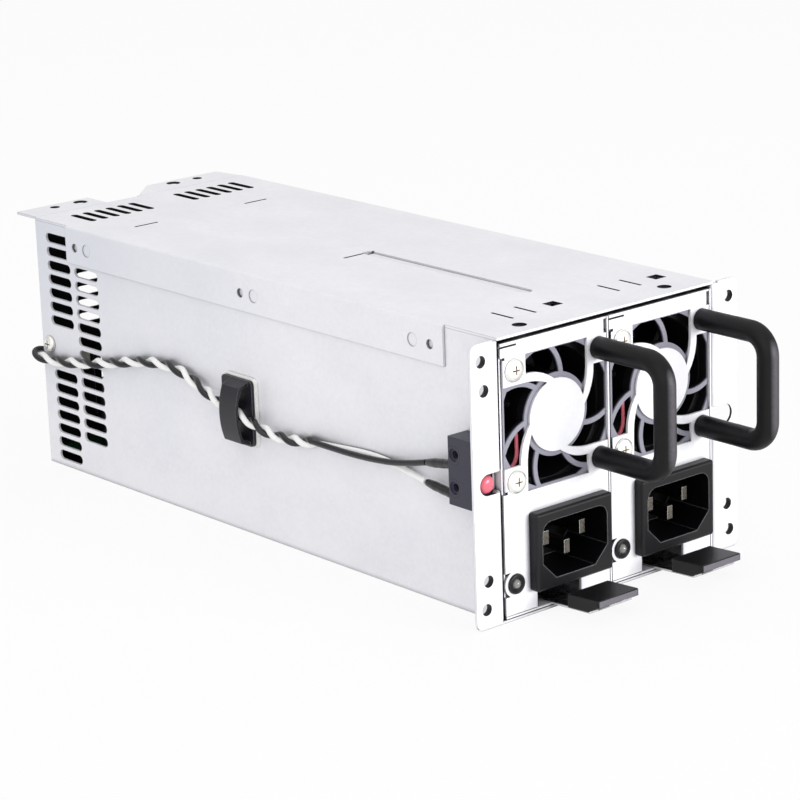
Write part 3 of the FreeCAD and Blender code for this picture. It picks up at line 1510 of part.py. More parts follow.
def mains_inlet(name, x):
    """A three pin appliance inlet: bezel, body behind the panel and the shaped cavity."""
    body = new_body("Inlet")
    wide, tall = S.bezel_width / 2, S.bezel_height / 2
    bezel = new_sketch(body, "XZ_Plane", at=-S.bezel_depth)
    rectangle(bezel, -wide, -tall, wide, tall)
    pad(body, bezel, S.bezel_depth)
    doc.recompute()
    rim = edges_at(body.Shape, "x", y=-S.bezel_depth) + edges_at(body.Shape, "z", y=-S.bezel_depth)
    rim += edges_at(body.Shape, "y")
    soften(body, rim, S.bezel_edge)
    shell = new_sketch(body, "XZ_Plane")
    rectangle(shell, -S.inlet_body_width / 2, -S.inlet_body_height / 2, S.inlet_body_width / 2,
              S.inlet_body_height / 2)
    pad(body, shell, S.inlet_body_depth)
    cavity = new_sketch(body, "XZ_Plane", at=-S.bezel_depth)
    reach, rise, slant = S.cavity_width / 2, S.cavity_height / 2, S.cavity_chamfer
    polygon(cavity, [(-reach, rise), (reach, rise), (reach, -rise + slant), (reach - slant, -rise),
                     (-reach + slant, -rise), (-reach, -rise + slant)])
    pocket(body, cavity, S.cavity_depth)
    doc.recompute()
    soften(body, edges_at(body.Shape, "y", x=-reach, z=rise) + edges_at(body.Shape, "y", x=reach, z=rise),
           S.cavity_corner)
    finish(body, name + "_inlet", x + S.inlet_x, S.inlet_height)
    floor = S.cavity_depth - S.bezel_depth
    blades = []
    for across, height, recess in ((-S.pin_pitch / 2, S.earth_drop / 2, S.line_pin_recess),
                                   (S.pin_pitch / 2, S.earth_drop / 2, S.line_pin_recess),
                                   (as_size(0), -S.earth_drop / 2, S.earth_pin_recess)):
        start = recess - S.bezel_depth
        blades.append(box(across - S.pin_width / 2, start, height - S.pin_height / 2, S.pin_width,
                          floor - start, S.pin_height))
    finish(group(*blades), name + "_inlet_pins", x + S.inlet_x, S.inlet_height)


def status_lamp(name, x):
    """A domed lamp in a snap-in holder."""
    barrel = S.lamp_length
    flange = rod("y", 0, -S.lamp_flange, 0, S.lamp_holder_radius, S.lamp_flange)
    sleeve = rod("y", 0, 0, 0, S.lamp_barrel - S.lamp_fit, barrel)
    hollow = rod("y", 0, -2 * OVERRUN, 0, S.lamp_radius + S.lamp_fit, barrel + 4 * OVERRUN)
    finish(cut(fuse(flange, sleeve), hollow), name + "_lamp_holder", x - S.lamp_x, S.lamp_height)
    dome = doc.addObject("Part::Sphere", "Dome")
    bind(dome, "Radius", S.lamp_radius)
    bind(dome, "Placement.Base.y", S.lamp_radius - S.lamp_proud)
    stem = rod("y", 0, S.lamp_radius - S.lamp_proud, 0, S.lamp_radius, barrel)
    finish(fuse(dome, stem), name + "_status_lamp", x - S.lamp_x, S.lamp_height)


def latch(name, x):
    """A leaf spring on the tray's floor with a hooked tooth, and the tab on its front end."""
    floor, thin, slope = MODULE_FLOOR, S.latch_sheet, S.latch_slope
    bend = S.panel_sheet
    back, under, front = -S.tab_back, -S.tab_front + S.tab_undercut, -S.tab_front

    def top_of_leaf(y):
        return floor + thin + (bend - y) * slope

    body = new_body("LatchSpring")
    leaf = new_sketch(body, "YZ_Plane", at=S.latch_x - S.latch_width / 2)
    polygon(leaf, [(S.latch_back, floor), (bend, floor), (under, top_of_leaf(under) - thin),
                   (under, top_of_leaf(under)), (bend, floor + thin), (S.latch_back, floor + thin)])
    pad(body, leaf, S.latch_width)
    tongue = new_sketch(body, "YZ_Plane", at=S.tongue_x - S.tongue_width / 2)
    tip = top_of_leaf(front) + S.tab_height - S.tab_lip - S.tongue_gap
    polygon(tongue, [(under + thin, top_of_leaf(under) - thin), (under, top_of_leaf(under) - thin),
                     (front + S.tongue_gap, tip - S.tongue_thickness), (front + S.tongue_gap, tip),
                     (under, top_of_leaf(under) - S.tongue_gap), (under + thin, top_of_leaf(under) - S.tongue_gap)])
    pad(body, tongue, S.tongue_width)
    tooth = new_sketch(body, "YZ_Plane", at=S.latch_x - S.tooth_width / 2)
    tip = S.cage_sheet + S.tooth_clearance
    polygon(tooth, [(S.tooth_front, floor + thin), (S.tooth_front, tip), (S.tooth_front + S.tooth_tip, tip),
                    (S.tooth_back, floor), (S.tooth_back, floor + thin)])
    pad(body, tooth, S.tooth_width)
    finish(body, name + "_latch_spring", x)
    grip = new_body("LatchTab")
    side = new_sketch(grip, "YZ_Plane", at=S.tab_x - S.tab_width / 2)
    lip = top_of_leaf(front) + S.tab_height - S.tab_lip
    polygon(side, [(back, top_of_leaf(back)), (under, top_of_leaf(under)), (front, lip),
                   (front, top_of_leaf(front) + S.tab_height), (back, top_of_leaf(back) + S.tab_height)])
    pad(grip, side, S.tab_width)
    doc.recompute()
    ends = (S.tab_x - S.tab_width / 2, S.tab_x + S.tab_width / 2)
    soften(grip, [name for end in ends for name in edges_at(grip.Shape, "z", x=end, y=front)], S.tab_corner)
    doc.recompute()
    soften(grip, upper_rim(grip.Shape, float(top_of_leaf(front) + S.tab_height) - 0.01), S.tab_edge)
    finish(grip, name + "_latch_tab", x)


def upper_rim(shape, level):
    """Names of the edges that lie wholly above a level."""
    return [f"Edge{number}" for number, edge in enumerate(shape.Edges, start=1) if edge.BoundBox.ZMin > level]


def inner_works(name, x):
    """Board, heat sinks, transformer, reservoir capacitors and the plug at the back."""
    left = -MODULE_HALF + S.module_sheet + S.board_standoff
    low = MODULE_FLOOR + S.board_low
    tall = MODULE_TOP - S.board_drop - low
    board = box(left, S.board_front, low, S.board_sheet, S.board_back - S.board_front, tall)
    finish(board, name + "_main_board", x)
    face = left + S.board_sheet
    sinks = []
    for height in (S.sink_low, S.sink_high):
        parts = [box(face, S.sink_start, height, S.sink_width, S.sink_length, S.sink_base)]
        for fin in range(5):
            parts.append(box(face + S.fin_inset + fin * S.fin_pitch, S.sink_start, height + S.sink_base,
                             S.fin_sheet, S.sink_length, S.fin_height))
        sinks.append(fuse(*parts))
    finish(group(*sinks), name + "_heat_sinks", x)
    bar = S.core_bar
    core = box(face, S.core_start, S.core_low, S.core_width, S.core_length, bar)
    upper = box(face, S.core_start, S.core_low + 2 * bar, S.core_width, S.core_length, bar)
    winding = box(face, S.core_start + S.winding_inset, S.core_low + bar, S.winding_width,
                  S.core_length - 2 * S.winding_inset, bar)
    finish(fuse(core, upper, winding), name + "_transformer", x)
    cans = [rod("x", face, S.reservoir_y, S.reservoir_low + level * S.reservoir_pitch, S.reservoir_radius,
                S.reservoir_length) for level in (0, 1)]
    cans += [rod("x", face, S.filter_y + column * S.filter_pitch_y, S.filter_low + level * S.filter_pitch_z,
                 S.filter_radius, S.filter_length) for column in (0, 1) for level in (0, 1)]
    finish(group(*cans), name + "_capacitors", x)
    wall = S.module_depth - S.module_sheet
    margin = S.plug_block_margin
    block = box(face, wall - S.plug_room - S.plug_block_length, S.plug_low - margin,
                S.plug_width / 2 + margin - face, S.plug_block_length, S.plug_height + 1.5 * margin)
    tongue = box(-S.plug_width / 2, wall - 2.0, S.plug_low, S.plug_width,
                 2.0 + S.module_sheet + S.plug_reach, S.plug_height)
    finish(fuse(block, tongue), name + "_output_plug", x)


def module(name, side):
    x = side * MODULE_PITCH / 2
    for make in (front_panel, tray, module_cover, handle, fan_frame, fan_rotor, fan_lead, fan_screws,
                 mains_inlet, status_lamp, latch, inner_works):
        make(name, x)


def main_assembly():
    cage_chassis()
    top_cover()
    rear_panel()
    rear_brackets()
    harness_grommet()
    cage_screws()
    rear_chamber()
    alarm_switch()
    cable_clip()
    alarm_lead()
    module("left", -1)
    module("right", 1)


main_assembly()
doc.recompute()


def check():
    """Stop on any object that failed, and on a pocket that removed nothing."""
    for thing in doc.Objects:
        if "Invalid" in thing.State or "Error" in thing.State:
            raise RuntimeError(f"{thing.Name} {thing.Label} failed: {thing.State}")
        if thing.TypeId == "PartDesign::Pocket" and thing.BaseFeature is not None:
            if thing.Shape.Volume > thing.BaseFeature.Shape.Volume - 1e-6:
                raise RuntimeError(f"{thing.Name} cuts nothing")
    for piece in PIECES:
        if piece.Shape.isNull() or not piece.Shape.isValid():
            raise RuntimeError(f"{piece.Label} has no valid shape")


check()
os.makedirs("parts", exist_ok=True)
for piece in PIECES:
    piece.Shape.exportStep(f"parts/{piece.Label}.step")
print(len(PIECES), "pieces")
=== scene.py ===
"""Dresses a hot swap server power supply: a zinc plated cage with two slide-in modules side by side.

Lengths in the values below are millimetres. A place is given from the cage as it is drawn: X to the
right from its middle, Y backwards from its front face and Z up from what it stands on.
"""
import math

import bmesh
import bpy
from mathutils import Matrix, Quaternion, Vector


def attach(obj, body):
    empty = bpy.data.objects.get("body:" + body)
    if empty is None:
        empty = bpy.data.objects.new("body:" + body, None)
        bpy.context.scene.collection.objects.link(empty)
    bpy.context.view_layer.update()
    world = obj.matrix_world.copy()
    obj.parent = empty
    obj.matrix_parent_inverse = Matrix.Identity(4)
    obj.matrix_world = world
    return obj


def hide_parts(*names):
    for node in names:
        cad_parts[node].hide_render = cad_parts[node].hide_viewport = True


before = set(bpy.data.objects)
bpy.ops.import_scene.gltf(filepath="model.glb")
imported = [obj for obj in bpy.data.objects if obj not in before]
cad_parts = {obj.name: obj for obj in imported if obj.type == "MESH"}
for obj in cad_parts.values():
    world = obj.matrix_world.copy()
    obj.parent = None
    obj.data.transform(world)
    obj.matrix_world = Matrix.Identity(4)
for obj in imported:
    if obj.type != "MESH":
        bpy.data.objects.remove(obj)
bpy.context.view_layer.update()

MM = 0.001
HALF_DEPTH = 110.75
FORWARD = (0, -1, 0)
SIDES = {"left": -20.6375, "right": 20.6375}

# The cage: the outside and inside of its walls, and the lid's inside, flat part and bead
WALL = 42.2
INSIDE_WALL = 41.45
INSIDE_ROOF = 81.75
LID_EDGE = 41.6
LID_FRONT = 1.5
BEAD_X = 1.5
BEAD_REACH = 4.0

# From front to back: the rear chamber. From inside to outside: the part of an ear that has holes
CHAMBER = (177.0, 221.1)
EAR_ACROSS = (43.6, 51.4)
EAR_MIDDLE = 41.1
EAR_REACH = 39.8
EAR_BACK = 2.1

# The brackets' holes, as pairs of place across and radius, and where painted shade darkens the walls towards
# their upper rear
BRACKET_HOLES = ((29.2, 1.65), (19.1, 2.35))
BRACKET_HOLE_ROW = 229.0
REAR_SHADE_DEPTHS = (90.75, 233.6)
REAR_SHADE_HEIGHTS = (12.5, 75.0)

FAN_OFFSET = 0.45
FAN_HEIGHT = 56.2
FAN_SCREW = 16.0
# How far behind the fan's front its painted light gives way to painted shade
FAN_SHADE_RAMP = (1.0, 1.5)
CAGE_SCREW_PLACE = (217.2, 41.0)
ALARM_BUTTON = (-46.6, 0, 41.7)
LAMP_OFFSET = 16.7
LAMP_HEIGHT = 10.7
PIN_EDGE = 0.35

CAMERA_PLACE = (-582.82, -710.91, 301.55)
CAMERA_AZIMUTH = -40.114
CAMERA_ELEVATION = 16.263
CAMERA_ROLL = -2.022
CAMERA_LENS = 138.93
SENSOR = 36.0

# The lamps, as place, aim, width, height and power in watts, and how bright the sky shines and looks
SOFTBOXES = {
    "key_softbox": ((500, -1300, 220), (0, 0, 50), 700, 340, 12.5),
    "side_softbox": ((-1000, -600, 500), (0, 0, 40), 1500, 1000, 4.2),
    "top_softbox": ((-100, 0, 1500), (0, 0, 0), 2200, 2200, 9.0),
}
SKY_SHINES = 0.66
SKY_LOOKS = 1.0
FLOOR_REACH = 6000
FLOOR_GLOW = 0.88

STRAND_RADIUS = 0.9
STRAND_OFFSET = 0.9
TWIST_PITCH = 15.4
TIGHT_PITCH = 12.2
TIGHT_SPAN = 30.0
TAIL_DIAMETER = 1.8
FAN_LEAD_DIAMETER = 1.1

LEAD_ROUTE = [
    (-5.4, 216.9, 37.3),
    (-5.4, 224.8, 37.3),
    (2.7, 224.8, 37.0),
    (2.4, 214.6, 36.2),
    (2.2, 200.0, 37.9),
    (2.3, 181.0, 41.6),
    (2.5, 161.0, 46.3),
    (2.3, 145.0, 47.2),
    (2.8, 132.0, 43.2),
    (4.35, 122.0, 41.4),
    (4.35, 108.0, 38.4),
    (2.6, 93.5, 34.2),
    (2.0, 79.0, 36.8),
]
BLACK_ROUTE = [
    (2.9, 78.7, 37.3),
    (3.1, 64.0, 37.2),
    (3.2, 50.0, 37.9),
    (3.1, 38.0, 39.3),
    (3.0, 27.5, 42.0),
]
WHITE_ROUTE = [
    (1.05, 78.7, 36.3),
    (1.1, 64.5, 37.7),
    (1.1, 50.5, 38.4),
    (1.4, 38.5, 37.0),
    (2.9, 28.0, 36.2),
]
FAN_LEAD_ROUTE = [
    (-12.9, 3.2, -3.4),
    (-12.8, 3.2, -6.6),
    (-12.8, 3.2, -9.6),
    (-13.9, 3.2, -12.2),
    (-16.4, 3.2, -13.2),
    (-19.35, 3.6, -13.3),
    (-19.35, 7.8, -13.1),
    (-19.35, 14.2, -12.9),
    (-19.35, 21.2, -13.1),
    (-19.35, 26.8, -12.9),
    (-18.55, 30.1, -12.7),
    (-16.56, 31.7, -12.6),
]

# The alarm switch: its mounting holes, the seam of its cover plate and the tips of its two used terminals
SWITCH_HOLES = ((11.0, 39.05), (11.0, 48.55))
SWITCH_HOLE_RIM = 2.7
SWITCH_SEAM = -48.1
BLACK_TERMINAL = (3.9, 14.7, 44.4)
WHITE_TERMINAL = (3.9, 14.7, 35.4)

# The shrunk sleeves. They close over the last part of their length, and ripple by pairs of height and waves
SLEEVE_RADIUS = 1.35
SLEEVE_GAP = 0.55
SLEEVE_LIP = 0.12
SLEEVE_CLOSES = 0.36
SLEEVE_CLOSES_FROM = 0.62
SLEEVE_RIPPLES = ((0.03, 21.0), (0.02, 47.0))
SLEEVE_STEPS = 32

# The screws' shanks, as radius and length, and the cross that is cut into their heads
FAN_SHANK = (1.45, 8.8)
CAGE_SHANK = (1.4, 2.8)
THREAD_FROM = 1.0
CROSS_ARM = 1.5
CROSS_HALF = 0.2
CROSS_DEPTH = 0.45
RECESS_REACH = 1.55
RECESS_RIM = 0.08
SHARP_ANGLE = math.radians(38)

# Turned pieces, from the top down, as pairs of radius and height above the face they stand on
PAN_HEAD = [
    (0, 1.1), (1.7, 1.09), (2.5, 1.0), (3.0, 0.82), (3.28, 0.5), (3.38, 0.16), (3.12, 0.0), (1.45, 0.0),
]
CHEESE_HEAD = [
    (0, 1.5), (1.4, 1.46), (2.0, 1.28), (2.4, 0.95), (2.58, 0.5), (2.6, 0.15), (2.35, 0.0), (1.4, 0.0),
]
BUTTON = [
    (0, 0.4), (0.8, 0.36), (1.5, 0.22), (2.05, -0.05), (2.42, -0.45), (2.58, -0.9), (2.6, -1.4),
    (2.5, -1.8), (1.0, -1.8), (1.0, -4.8), (0, -4.8),
]
LAMP_DOME = [
    (0, 1.3), (0.4, 1.245), (0.78, 1.08), (1.1, 0.82), (1.34, 0.47), (1.47, 0.1), (1.5, -0.2),
    (1.5, -5.8), (0, -5.8),
]
LAMP_HOLDER = [
    (1.56, -6.0), (1.56, 0.1), (1.72, 0.38), (1.86, 0.42), (2.0, 0.72), (2.2, 0.86), (2.55, 0.88),
    (2.84, 0.7), (2.95, 0.4), (2.95, 0.0), (2.3, 0.0), (2.3, -5.2), (2.15, -6.0), (1.56, -6.0),
]


def at(x, y, z):
    """A place on the drawing, in metres in the shared frame."""
    return Vector((x, y - HALF_DEPTH, z)) * MM


def beside_wall(out, y, z):
    """A place that far out from the cage's left wall."""
    return at(-WALL - out, y, z)


def tone(red, green, blue):
    """A colour as it looks on a screen, 0 to 255 a channel, in the shader's own linear values."""
    linear = [v / 3294.6 if v <= 10.3 else ((v / 255 + 0.055) / 1.055) ** 2.4 for v in (red, green, blue)]
    return (*linear, 1.0)


class Wire:
    """One node's output. Sums and products of it add Math nodes to its material."""

    def __init__(self, finish, socket):
        self.finish = finish
        self.socket = socket

    def __add__(self, other):
        return self.finish.math("ADD", self, other)

    def __sub__(self, other):
        return self.finish.math("SUBTRACT", self, other)

    def __mul__(self, other):
        return self.finish.math("MULTIPLY", self, other)

    def __truediv__(self, other):
        return self.finish.math("DIVIDE", self, other)

    def __gt__(self, other):
        return self.finish.math("GREATER_THAN", self, other)

    def __lt__(self, other):
        return self.finish.math("LESS_THAN", self, other)

    def __rsub__(self, other):
        return self.finish.math("SUBTRACT", other, self)

    def __rtruediv__(self, other):
        return self.finish.math("DIVIDE", other, self)

    __radd__ = __add__
    __rmul__ = __mul__


class Finish:
    """A material being made: one shader, and the nodes that vary it over the surface."""

    def __init__(self, name, colour, roughness, metallic=0.0, **constants):
        self.material = bpy.data.materials.new(name)
        self.material.use_nodes = True
        self.tree = self.material.node_tree
        self.shader = self.tree.nodes["Principled BSDF"]
        self.give("Base Color", colour)
        self.give("Roughness", roughness)
        self.give("Metallic", metallic)
        for socket, value in constants.items():
            self.give(socket.replace("_", " "), value)

    def feed(self, socket, value):
        """Links a wire to a socket, or sets a plain value on it."""
        if isinstance(value, Wire):
            self.tree.links.new(value.socket, socket)
        else:
            socket.default_value = value

    def give(self, socket, value):
        self.feed(self.shader.inputs[socket], value)

    def add(self, kind, settings=None, inputs=None, output=0):
        """One node of that type, with its settings made first and then its sockets."""
        node = self.tree.nodes.new(kind)
        for name, value in (settings or {}).items():
            setattr(node, name, value)
        for name, value in (inputs or {}).items():
            self.feed(node.inputs[name], value)
        return Wire(self, node.outputs[output])

    def math(self, operation, first, second=0.0):
        return self.add("ShaderNodeMath", {"operation": operation}, {0: first, 1: second})

    def kept(self, value):
        """The value held between 0 and 1."""
        return self.add("ShaderNodeClamp", None, {0: value})

    def mixed(self, factor, first, second):
        """A colour between two others."""
        inputs = {0: factor, 6: first, 7: second}
        return self.add("ShaderNodeMix", {"data_type": "RGBA"}, inputs, 2)

    def ramp(self, value, start, end):
        """0 where a value is at the start, and 1 where it is at the end, both in millimetres."""
        return self.kept((value - start * MM) / ((end - start) * MM))

    def between(self, value, low, high):
        """1 where a value is between two others, both in millimetres."""
        return (value > low * MM) * (value < high * MM)

    def distance(self, place, other):
        return self.add("ShaderNodeVectorMath", {"operation": "DISTANCE"}, {0: place, 1: other}, "Value")

    def line(self, value, centre, width):
        """A mask that is 1 where a value is at the centre and 0 a width away, both in millimetres."""
        return self.kept(1 - self.size_of(value - centre * MM) / (width * MM))

    def rim(self, place, y, z, radius, width):
        """A line along a circle about an axis that runs across the cage."""
        across = self.stretched(place, (0.0, 1.0, 1.0))
        return self.line(self.distance(across, at(0, y, z)), radius, width)

    def free_of_gap_shade(self, distance):
        """Painted shade in gaps: 1 on an open face, and down to 0 in a gap as narrow as a fraction of the
        distance.
        """
        inputs = {"Distance": distance * MM}
        seen = self.add("ShaderNodeAmbientOcclusion", {"samples": 8}, inputs, "AO")
        return self.kept(seen * 2.6 - 0.75)

    def place(self):
        return self.add("ShaderNodeTexCoord", None, None, "Object")

    def along(self, direction, axis):
        """One axis of a place or a direction."""
        return self.add("ShaderNodeSeparateXYZ", None, {0: direction}, axis)

    def size_of(self, value):
        return self.math("ABSOLUTE", value)

    def normal(self):
        return self.add("ShaderNodeNewGeometry", None, None, "Normal")

    def agreement(self, first, second):
        """1 where two directions are the same, and 0 where they are square to each other."""
        return self.add("ShaderNodeVectorMath", {"operation": "DOT_PRODUCT"}, {0: first, 1: second}, "Value")

    def facing(self, axis):
        """How far the surface faces along one axis, either way."""
        return self.size_of(self.along(self.normal(), axis))

    def catching(self, direction, spread):
        """1 where the surface faces a direction, and down to 0 a spread away from it."""
        toward = self.agreement(self.normal(), Vector(direction).normalized())
        return self.kept(1 - (1 - toward) / spread)

    def stretched(self, place, factors):
        """The place with its axes scaled apart."""
        return self.add("ShaderNodeVectorMath", {"operation": "MULTIPLY"}, {0: place, 1: factors})

    def noise(self, place, scale, detail=2.0, roughness=0.5):
        inputs = {"Vector": place, "Scale": scale, "Detail": detail, "Roughness": roughness}
        return self.add("ShaderNodeTexNoise", None, inputs, 0)

    def flakes(self, place, scale):
        """A value of its own for each flake of a crystalline surface."""
        inputs = {"Vector": place, "Scale": scale}
        colour = self.add("ShaderNodeTexVoronoi", None, inputs, "Color")
        return self.add("ShaderNodeSeparateColor", None, {0: colour}, 0)

    def eased_normal(self, radius):
        """The surface's direction with its edges rounded off."""
        return self.add("ShaderNodeBevel", {"samples": 4}, {"Radius": radius * MM}, 0)

    def edge(self, eased, gain):
        """A mask that is 1 along the edges, from how far the rounded direction turns away."""
        return self.kept((1 - self.agreement(eased, self.normal())) * gain)

    def relief(self, height, depth, normal=None):
        """Feeds a height, in millimetres once multiplied by depth, to the shader as a bump."""
        inputs = {"Height": height, "Distance": depth * MM, "Strength": 1.0}
        if normal is not None:
            inputs["Normal"] = normal
        self.give("Normal", self.add("ShaderNodeBump", None, inputs))


def plated_sheet(name, dark, light, cut_edge, roughness, metallic, cage=False):
    """Rolled steel under a bright zinc plate: small flakes, faint clouds and darker cut edges, with painted
    shade in narrow gaps; on the cage also painted shade at the walls' upper rear and where no lamp reaches.
    """
    finish = Finish(name, light, roughness, metallic)
    place = finish.place()
    flake = finish.flakes(place, 900.0)
    cloud = finish.noise(finish.stretched(place, (1.0, 0.6, 1.0)), 48.0, 6.0, 0.62)
    grain = finish.noise(finish.stretched(place, (1.0, 0.25, 1.0)), 2600.0, 2.0)
    eased = finish.eased_normal(0.28)
    edge = finish.edge(eased, 3.0)
    shade = finish.kept(cloud * 1.7 + flake * 0.3 - 0.5)
    sheet = finish.mixed(shade, dark, light)
    if cage:
        # Painted shade: the cage's walls darken towards their upper rear
        sheet = finish.mixed(shaded_rear(finish, place), sheet, tone(204, 208, 219))
    worn_and_shaded = finish.mixed(edge * 0.75, sheet, cut_edge)
    # Painted shade: near black in narrow gaps
    worn_and_shaded = finish.mixed(finish.free_of_gap_shade(3.0), tone(8, 8, 10), worn_and_shaded)
    if cage:
        # Painted shade: near black where no lamp reaches
        worn_and_shaded = finish.mixed(unlit_cage(finish, place), worn_and_shaded, tone(12, 12, 15))
    finish.give("Base Color", worn_and_shaded)
    finish.give("Roughness", roughness + flake * 0.05 + cloud * 0.12 + edge * 0.1 - 0.06)
    finish.relief(grain + flake * 0.25, 0.003, eased)
    return finish.material


def shaded_rear(finish, place):
    """A mask of painted shade on the upper rear of the side walls."""
    rear = finish.ramp(finish.along(place, "Y") + HALF_DEPTH * MM, *REAR_SHADE_DEPTHS)
    upper = finish.ramp(finish.along(place, "Z"), *REAR_SHADE_HEIGHTS)
    return rear * upper * (1 - finish.facing("Z")) * 0.7


def unlit_cage(finish, place):
    """A mask for what no lamp reaches: the rear chamber, the cover's cuts and the holes in the ears."""
    across = finish.size_of(finish.along(place, "X"))
    depth = finish.along(place, "Y") + HALF_DEPTH * MM
    height = finish.along(place, "Z")
    inside = (across < INSIDE_WALL * MM) * (height < INSIDE_ROOF * MM)
    chamber = inside * finish.between(depth, *CHAMBER)
    from_bead = finish.size_of(finish.along(place, "X") - BEAD_X * MM)
    flat_lid = (from_bead > BEAD_REACH * MM) * (across < LID_EDGE * MM) * (depth > LID_FRONT * MM)
    cuts = flat_lid * (height > INSIDE_ROOF * MM) * (finish.facing("Z") < 0.4)
    from_middle = finish.size_of(height - EAR_MIDDLE * MM)
    ear = finish.between(across, *EAR_ACROSS) * (from_middle < EAR_REACH * MM) * (depth < EAR_BACK * MM)
    bores = ear * (finish.facing("Y") < 0.5)
    return finish.kept(chamber + cuts + bores + bracket_hole_shade(finish, place))


def bracket_hole_shade(finish, place):
    """A mask of painted shade for the walls of the holes in the two rear brackets."""
    flat = finish.stretched(place, (1, 1, 0))
    folded = finish.add("ShaderNodeVectorMath", {"operation": "ABSOLUTE"}, {0: flat})
    near = [
        finish.distance(folded, at(across, BRACKET_HOLE_ROW, 0)) < radius * MM
        for across, radius in BRACKET_HOLES
    ]
    return sum(near) * 0.8


def moulded(
    name, dark, light, roughness, grain_size=0.35, grain_depth=0.012,
    edge_light=0.25, sheen_from=None, **constants
):
    """Moulded plastic: a fine even grain, slight flow clouds, a painted highlight along the edges and, where
    sheen_from is given, a painted sheen on the side that faces it.
    """
    finish = Finish(name, light, roughness, **constants)
    place = finish.place()
    grain = finish.noise(place, 1.0 / (grain_size * MM), 2.0)
    cloud = finish.noise(place, 90.0, 2.0)
    eased = finish.eased_normal(0.45)
    edge = finish.edge(eased, 3.0)
    body = finish.mixed(cloud, dark, light)
    if sheen_from is not None:
        # Painted sheen: lighter on the side that faces sheen_from
        sheen = finish.catching(sheen_from, 0.12) * (0.4 + grain * 0.4)
        body = finish.mixed(sheen, body, tone(142, 138, 148))
    # Painted highlight: lighter along the edges
    painted_highlight = finish.mixed(edge * edge_light, body, tone(150, 150, 156))
    finish.give("Base Color", painted_highlight)
    finish.give("Roughness", roughness + grain * 0.12 - edge * 0.08)
    finish.relief(grain, grain_depth, eased)
    return finish.material


def switch_plastic():
    """The snap switch's dark case, with the seam of its cover plate, a rim round each hole and a painted
    highlight along its edges.
    """
    finish = Finish("switch_plastic", tone(62, 62, 72), 0.42, Specular_IOR_Level=0.4)
    place = finish.place()
    grain = finish.noise(place, 2800.0, 2.0)
    cut = finish.line(finish.along(place, "X"), SWITCH_SEAM, 0.14)
    for y, z in SWITCH_HOLES:
        cut = cut + finish.rim(place, y, z, SWITCH_HOLE_RIM, 0.2) * 0.6
    cut = finish.kept(cut)
    eased = finish.eased_normal(0.3)
    edge = finish.edge(eased, 2.0)
    # Painted highlight: the case is lighter along its edges
    body = finish.mixed(finish.kept(grain * 0.7 + edge * 0.6), tone(42, 41, 54), tone(68, 67, 84))
    finish.give("Base Color", finish.mixed(cut * finish.free_of_gap_shade(2.5), body, tone(14, 14, 18)))
    finish.give("Roughness", 0.36 + grain * 0.14)
    finish.relief(grain * 0.1 - cut, 0.1, eased)
    return finish.material


def fan_plastic():
    """The fan housing's dark plastic, painted light grey on its front face and struts where the lamps fall,
    and painted near black in its bore as shade.
    """
    finish = Finish("fan_plastic", tone(120, 120, 130), 0.45, Specular_IOR_Level=0.3)
    place = finish.place()
    grain = finish.noise(place, 2000.0, 2.0)
    # Painted light on the front face, fading to painted shade in the bore
    inside = finish.ramp(finish.along(place, "Y") + HALF_DEPTH * MM, *FAN_SHADE_RAMP)
    face = finish.mixed(grain, tone(128, 128, 140), tone(150, 150, 162))
    painted_bore_shade = finish.mixed(grain, tone(7, 7, 10), tone(13, 13, 17))
    finish.give("Base Color", finish.mixed(inside, face, painted_bore_shade))
    finish.give("Roughness", 0.42 + grain * 0.12 + inside * 0.1)
    finish.relief(grain, 0.01, finish.eased_normal(0.2))
    return finish.material


def coated_handle():
    """A steel rod dipped in soft black vinyl: a leathery skin with a low sheen, and a painted highlight on
    the side that faces forward.
    """
    finish = Finish("coated_handle", tone(8, 8, 10), 0.45, Specular_IOR_Level=0.24)
    place = finish.place()
    skin = finish.noise(place, 1100.0, 3.0, 0.6)
    cloud = finish.noise(place, 120.0, 2.0)
    body = finish.mixed(cloud, tone(3, 3, 5), tone(12, 12, 15))
    # Painted highlight: lighter where the rod faces forward
    painted_highlight = finish.catching((-0.02, -1.0, 0.05), 0.16) * (0.3 + skin * 0.5)
    finish.give("Base Color", finish.mixed(painted_highlight, body, tone(104, 101, 108)))
    finish.give("Roughness", 0.38 + skin * 0.14)
    finish.relief(skin, 0.02)
    return finish.material


def bright_metal(name, dark, light, roughness, stretch=(1.0, 1.0, 1.0)):
    """Plated or rolled metal with fine scratches along one direction, and painted shade in narrow gaps and
    recesses.
    """
    finish = Finish(name, light, roughness, 1.0)
    place = finish.place()
    scratch = finish.noise(finish.stretched(place, stretch), 1800.0, 3.0)
    cloud = finish.noise(place, 150.0, 2.0)
    body = finish.mixed(cloud, dark, light)
    # Painted shade: darker in narrow gaps and recesses
    finish.give("Base Color", finish.mixed(finish.free_of_gap_shade(0.7), tone(60, 52, 48), body))
    finish.give("Roughness", roughness + scratch * 0.14)
    finish.relief(scratch, 0.004, finish.eased_normal(0.12))
    return finish.material


def blade_metal():
    """Nickel plate on the inlet's blades: a painted highlight along the rounded rim, and darker on the flats.
    """
    finish = Finish("blade_metal", tone(150, 146, 138), 0.24, 1.0)
    place = finish.place()
    scratch = finish.noise(finish.stretched(place, (1.0, 0.1, 1.0)), 1500.0, 3.0)
    eased = finish.eased_normal(0.3)
    rim = finish.edge(eased, 5.0)
    flat = finish.mixed(scratch, tone(58, 54, 48), tone(128, 124, 116))
    # Painted highlight along the rounded rim
    finish.give("Base Color", finish.mixed(rim, flat, tone(250, 248, 242)))
    finish.give("Roughness", 0.2 + scratch * 0.2)
    finish.relief(scratch, 0.006, eased)
    return finish.material


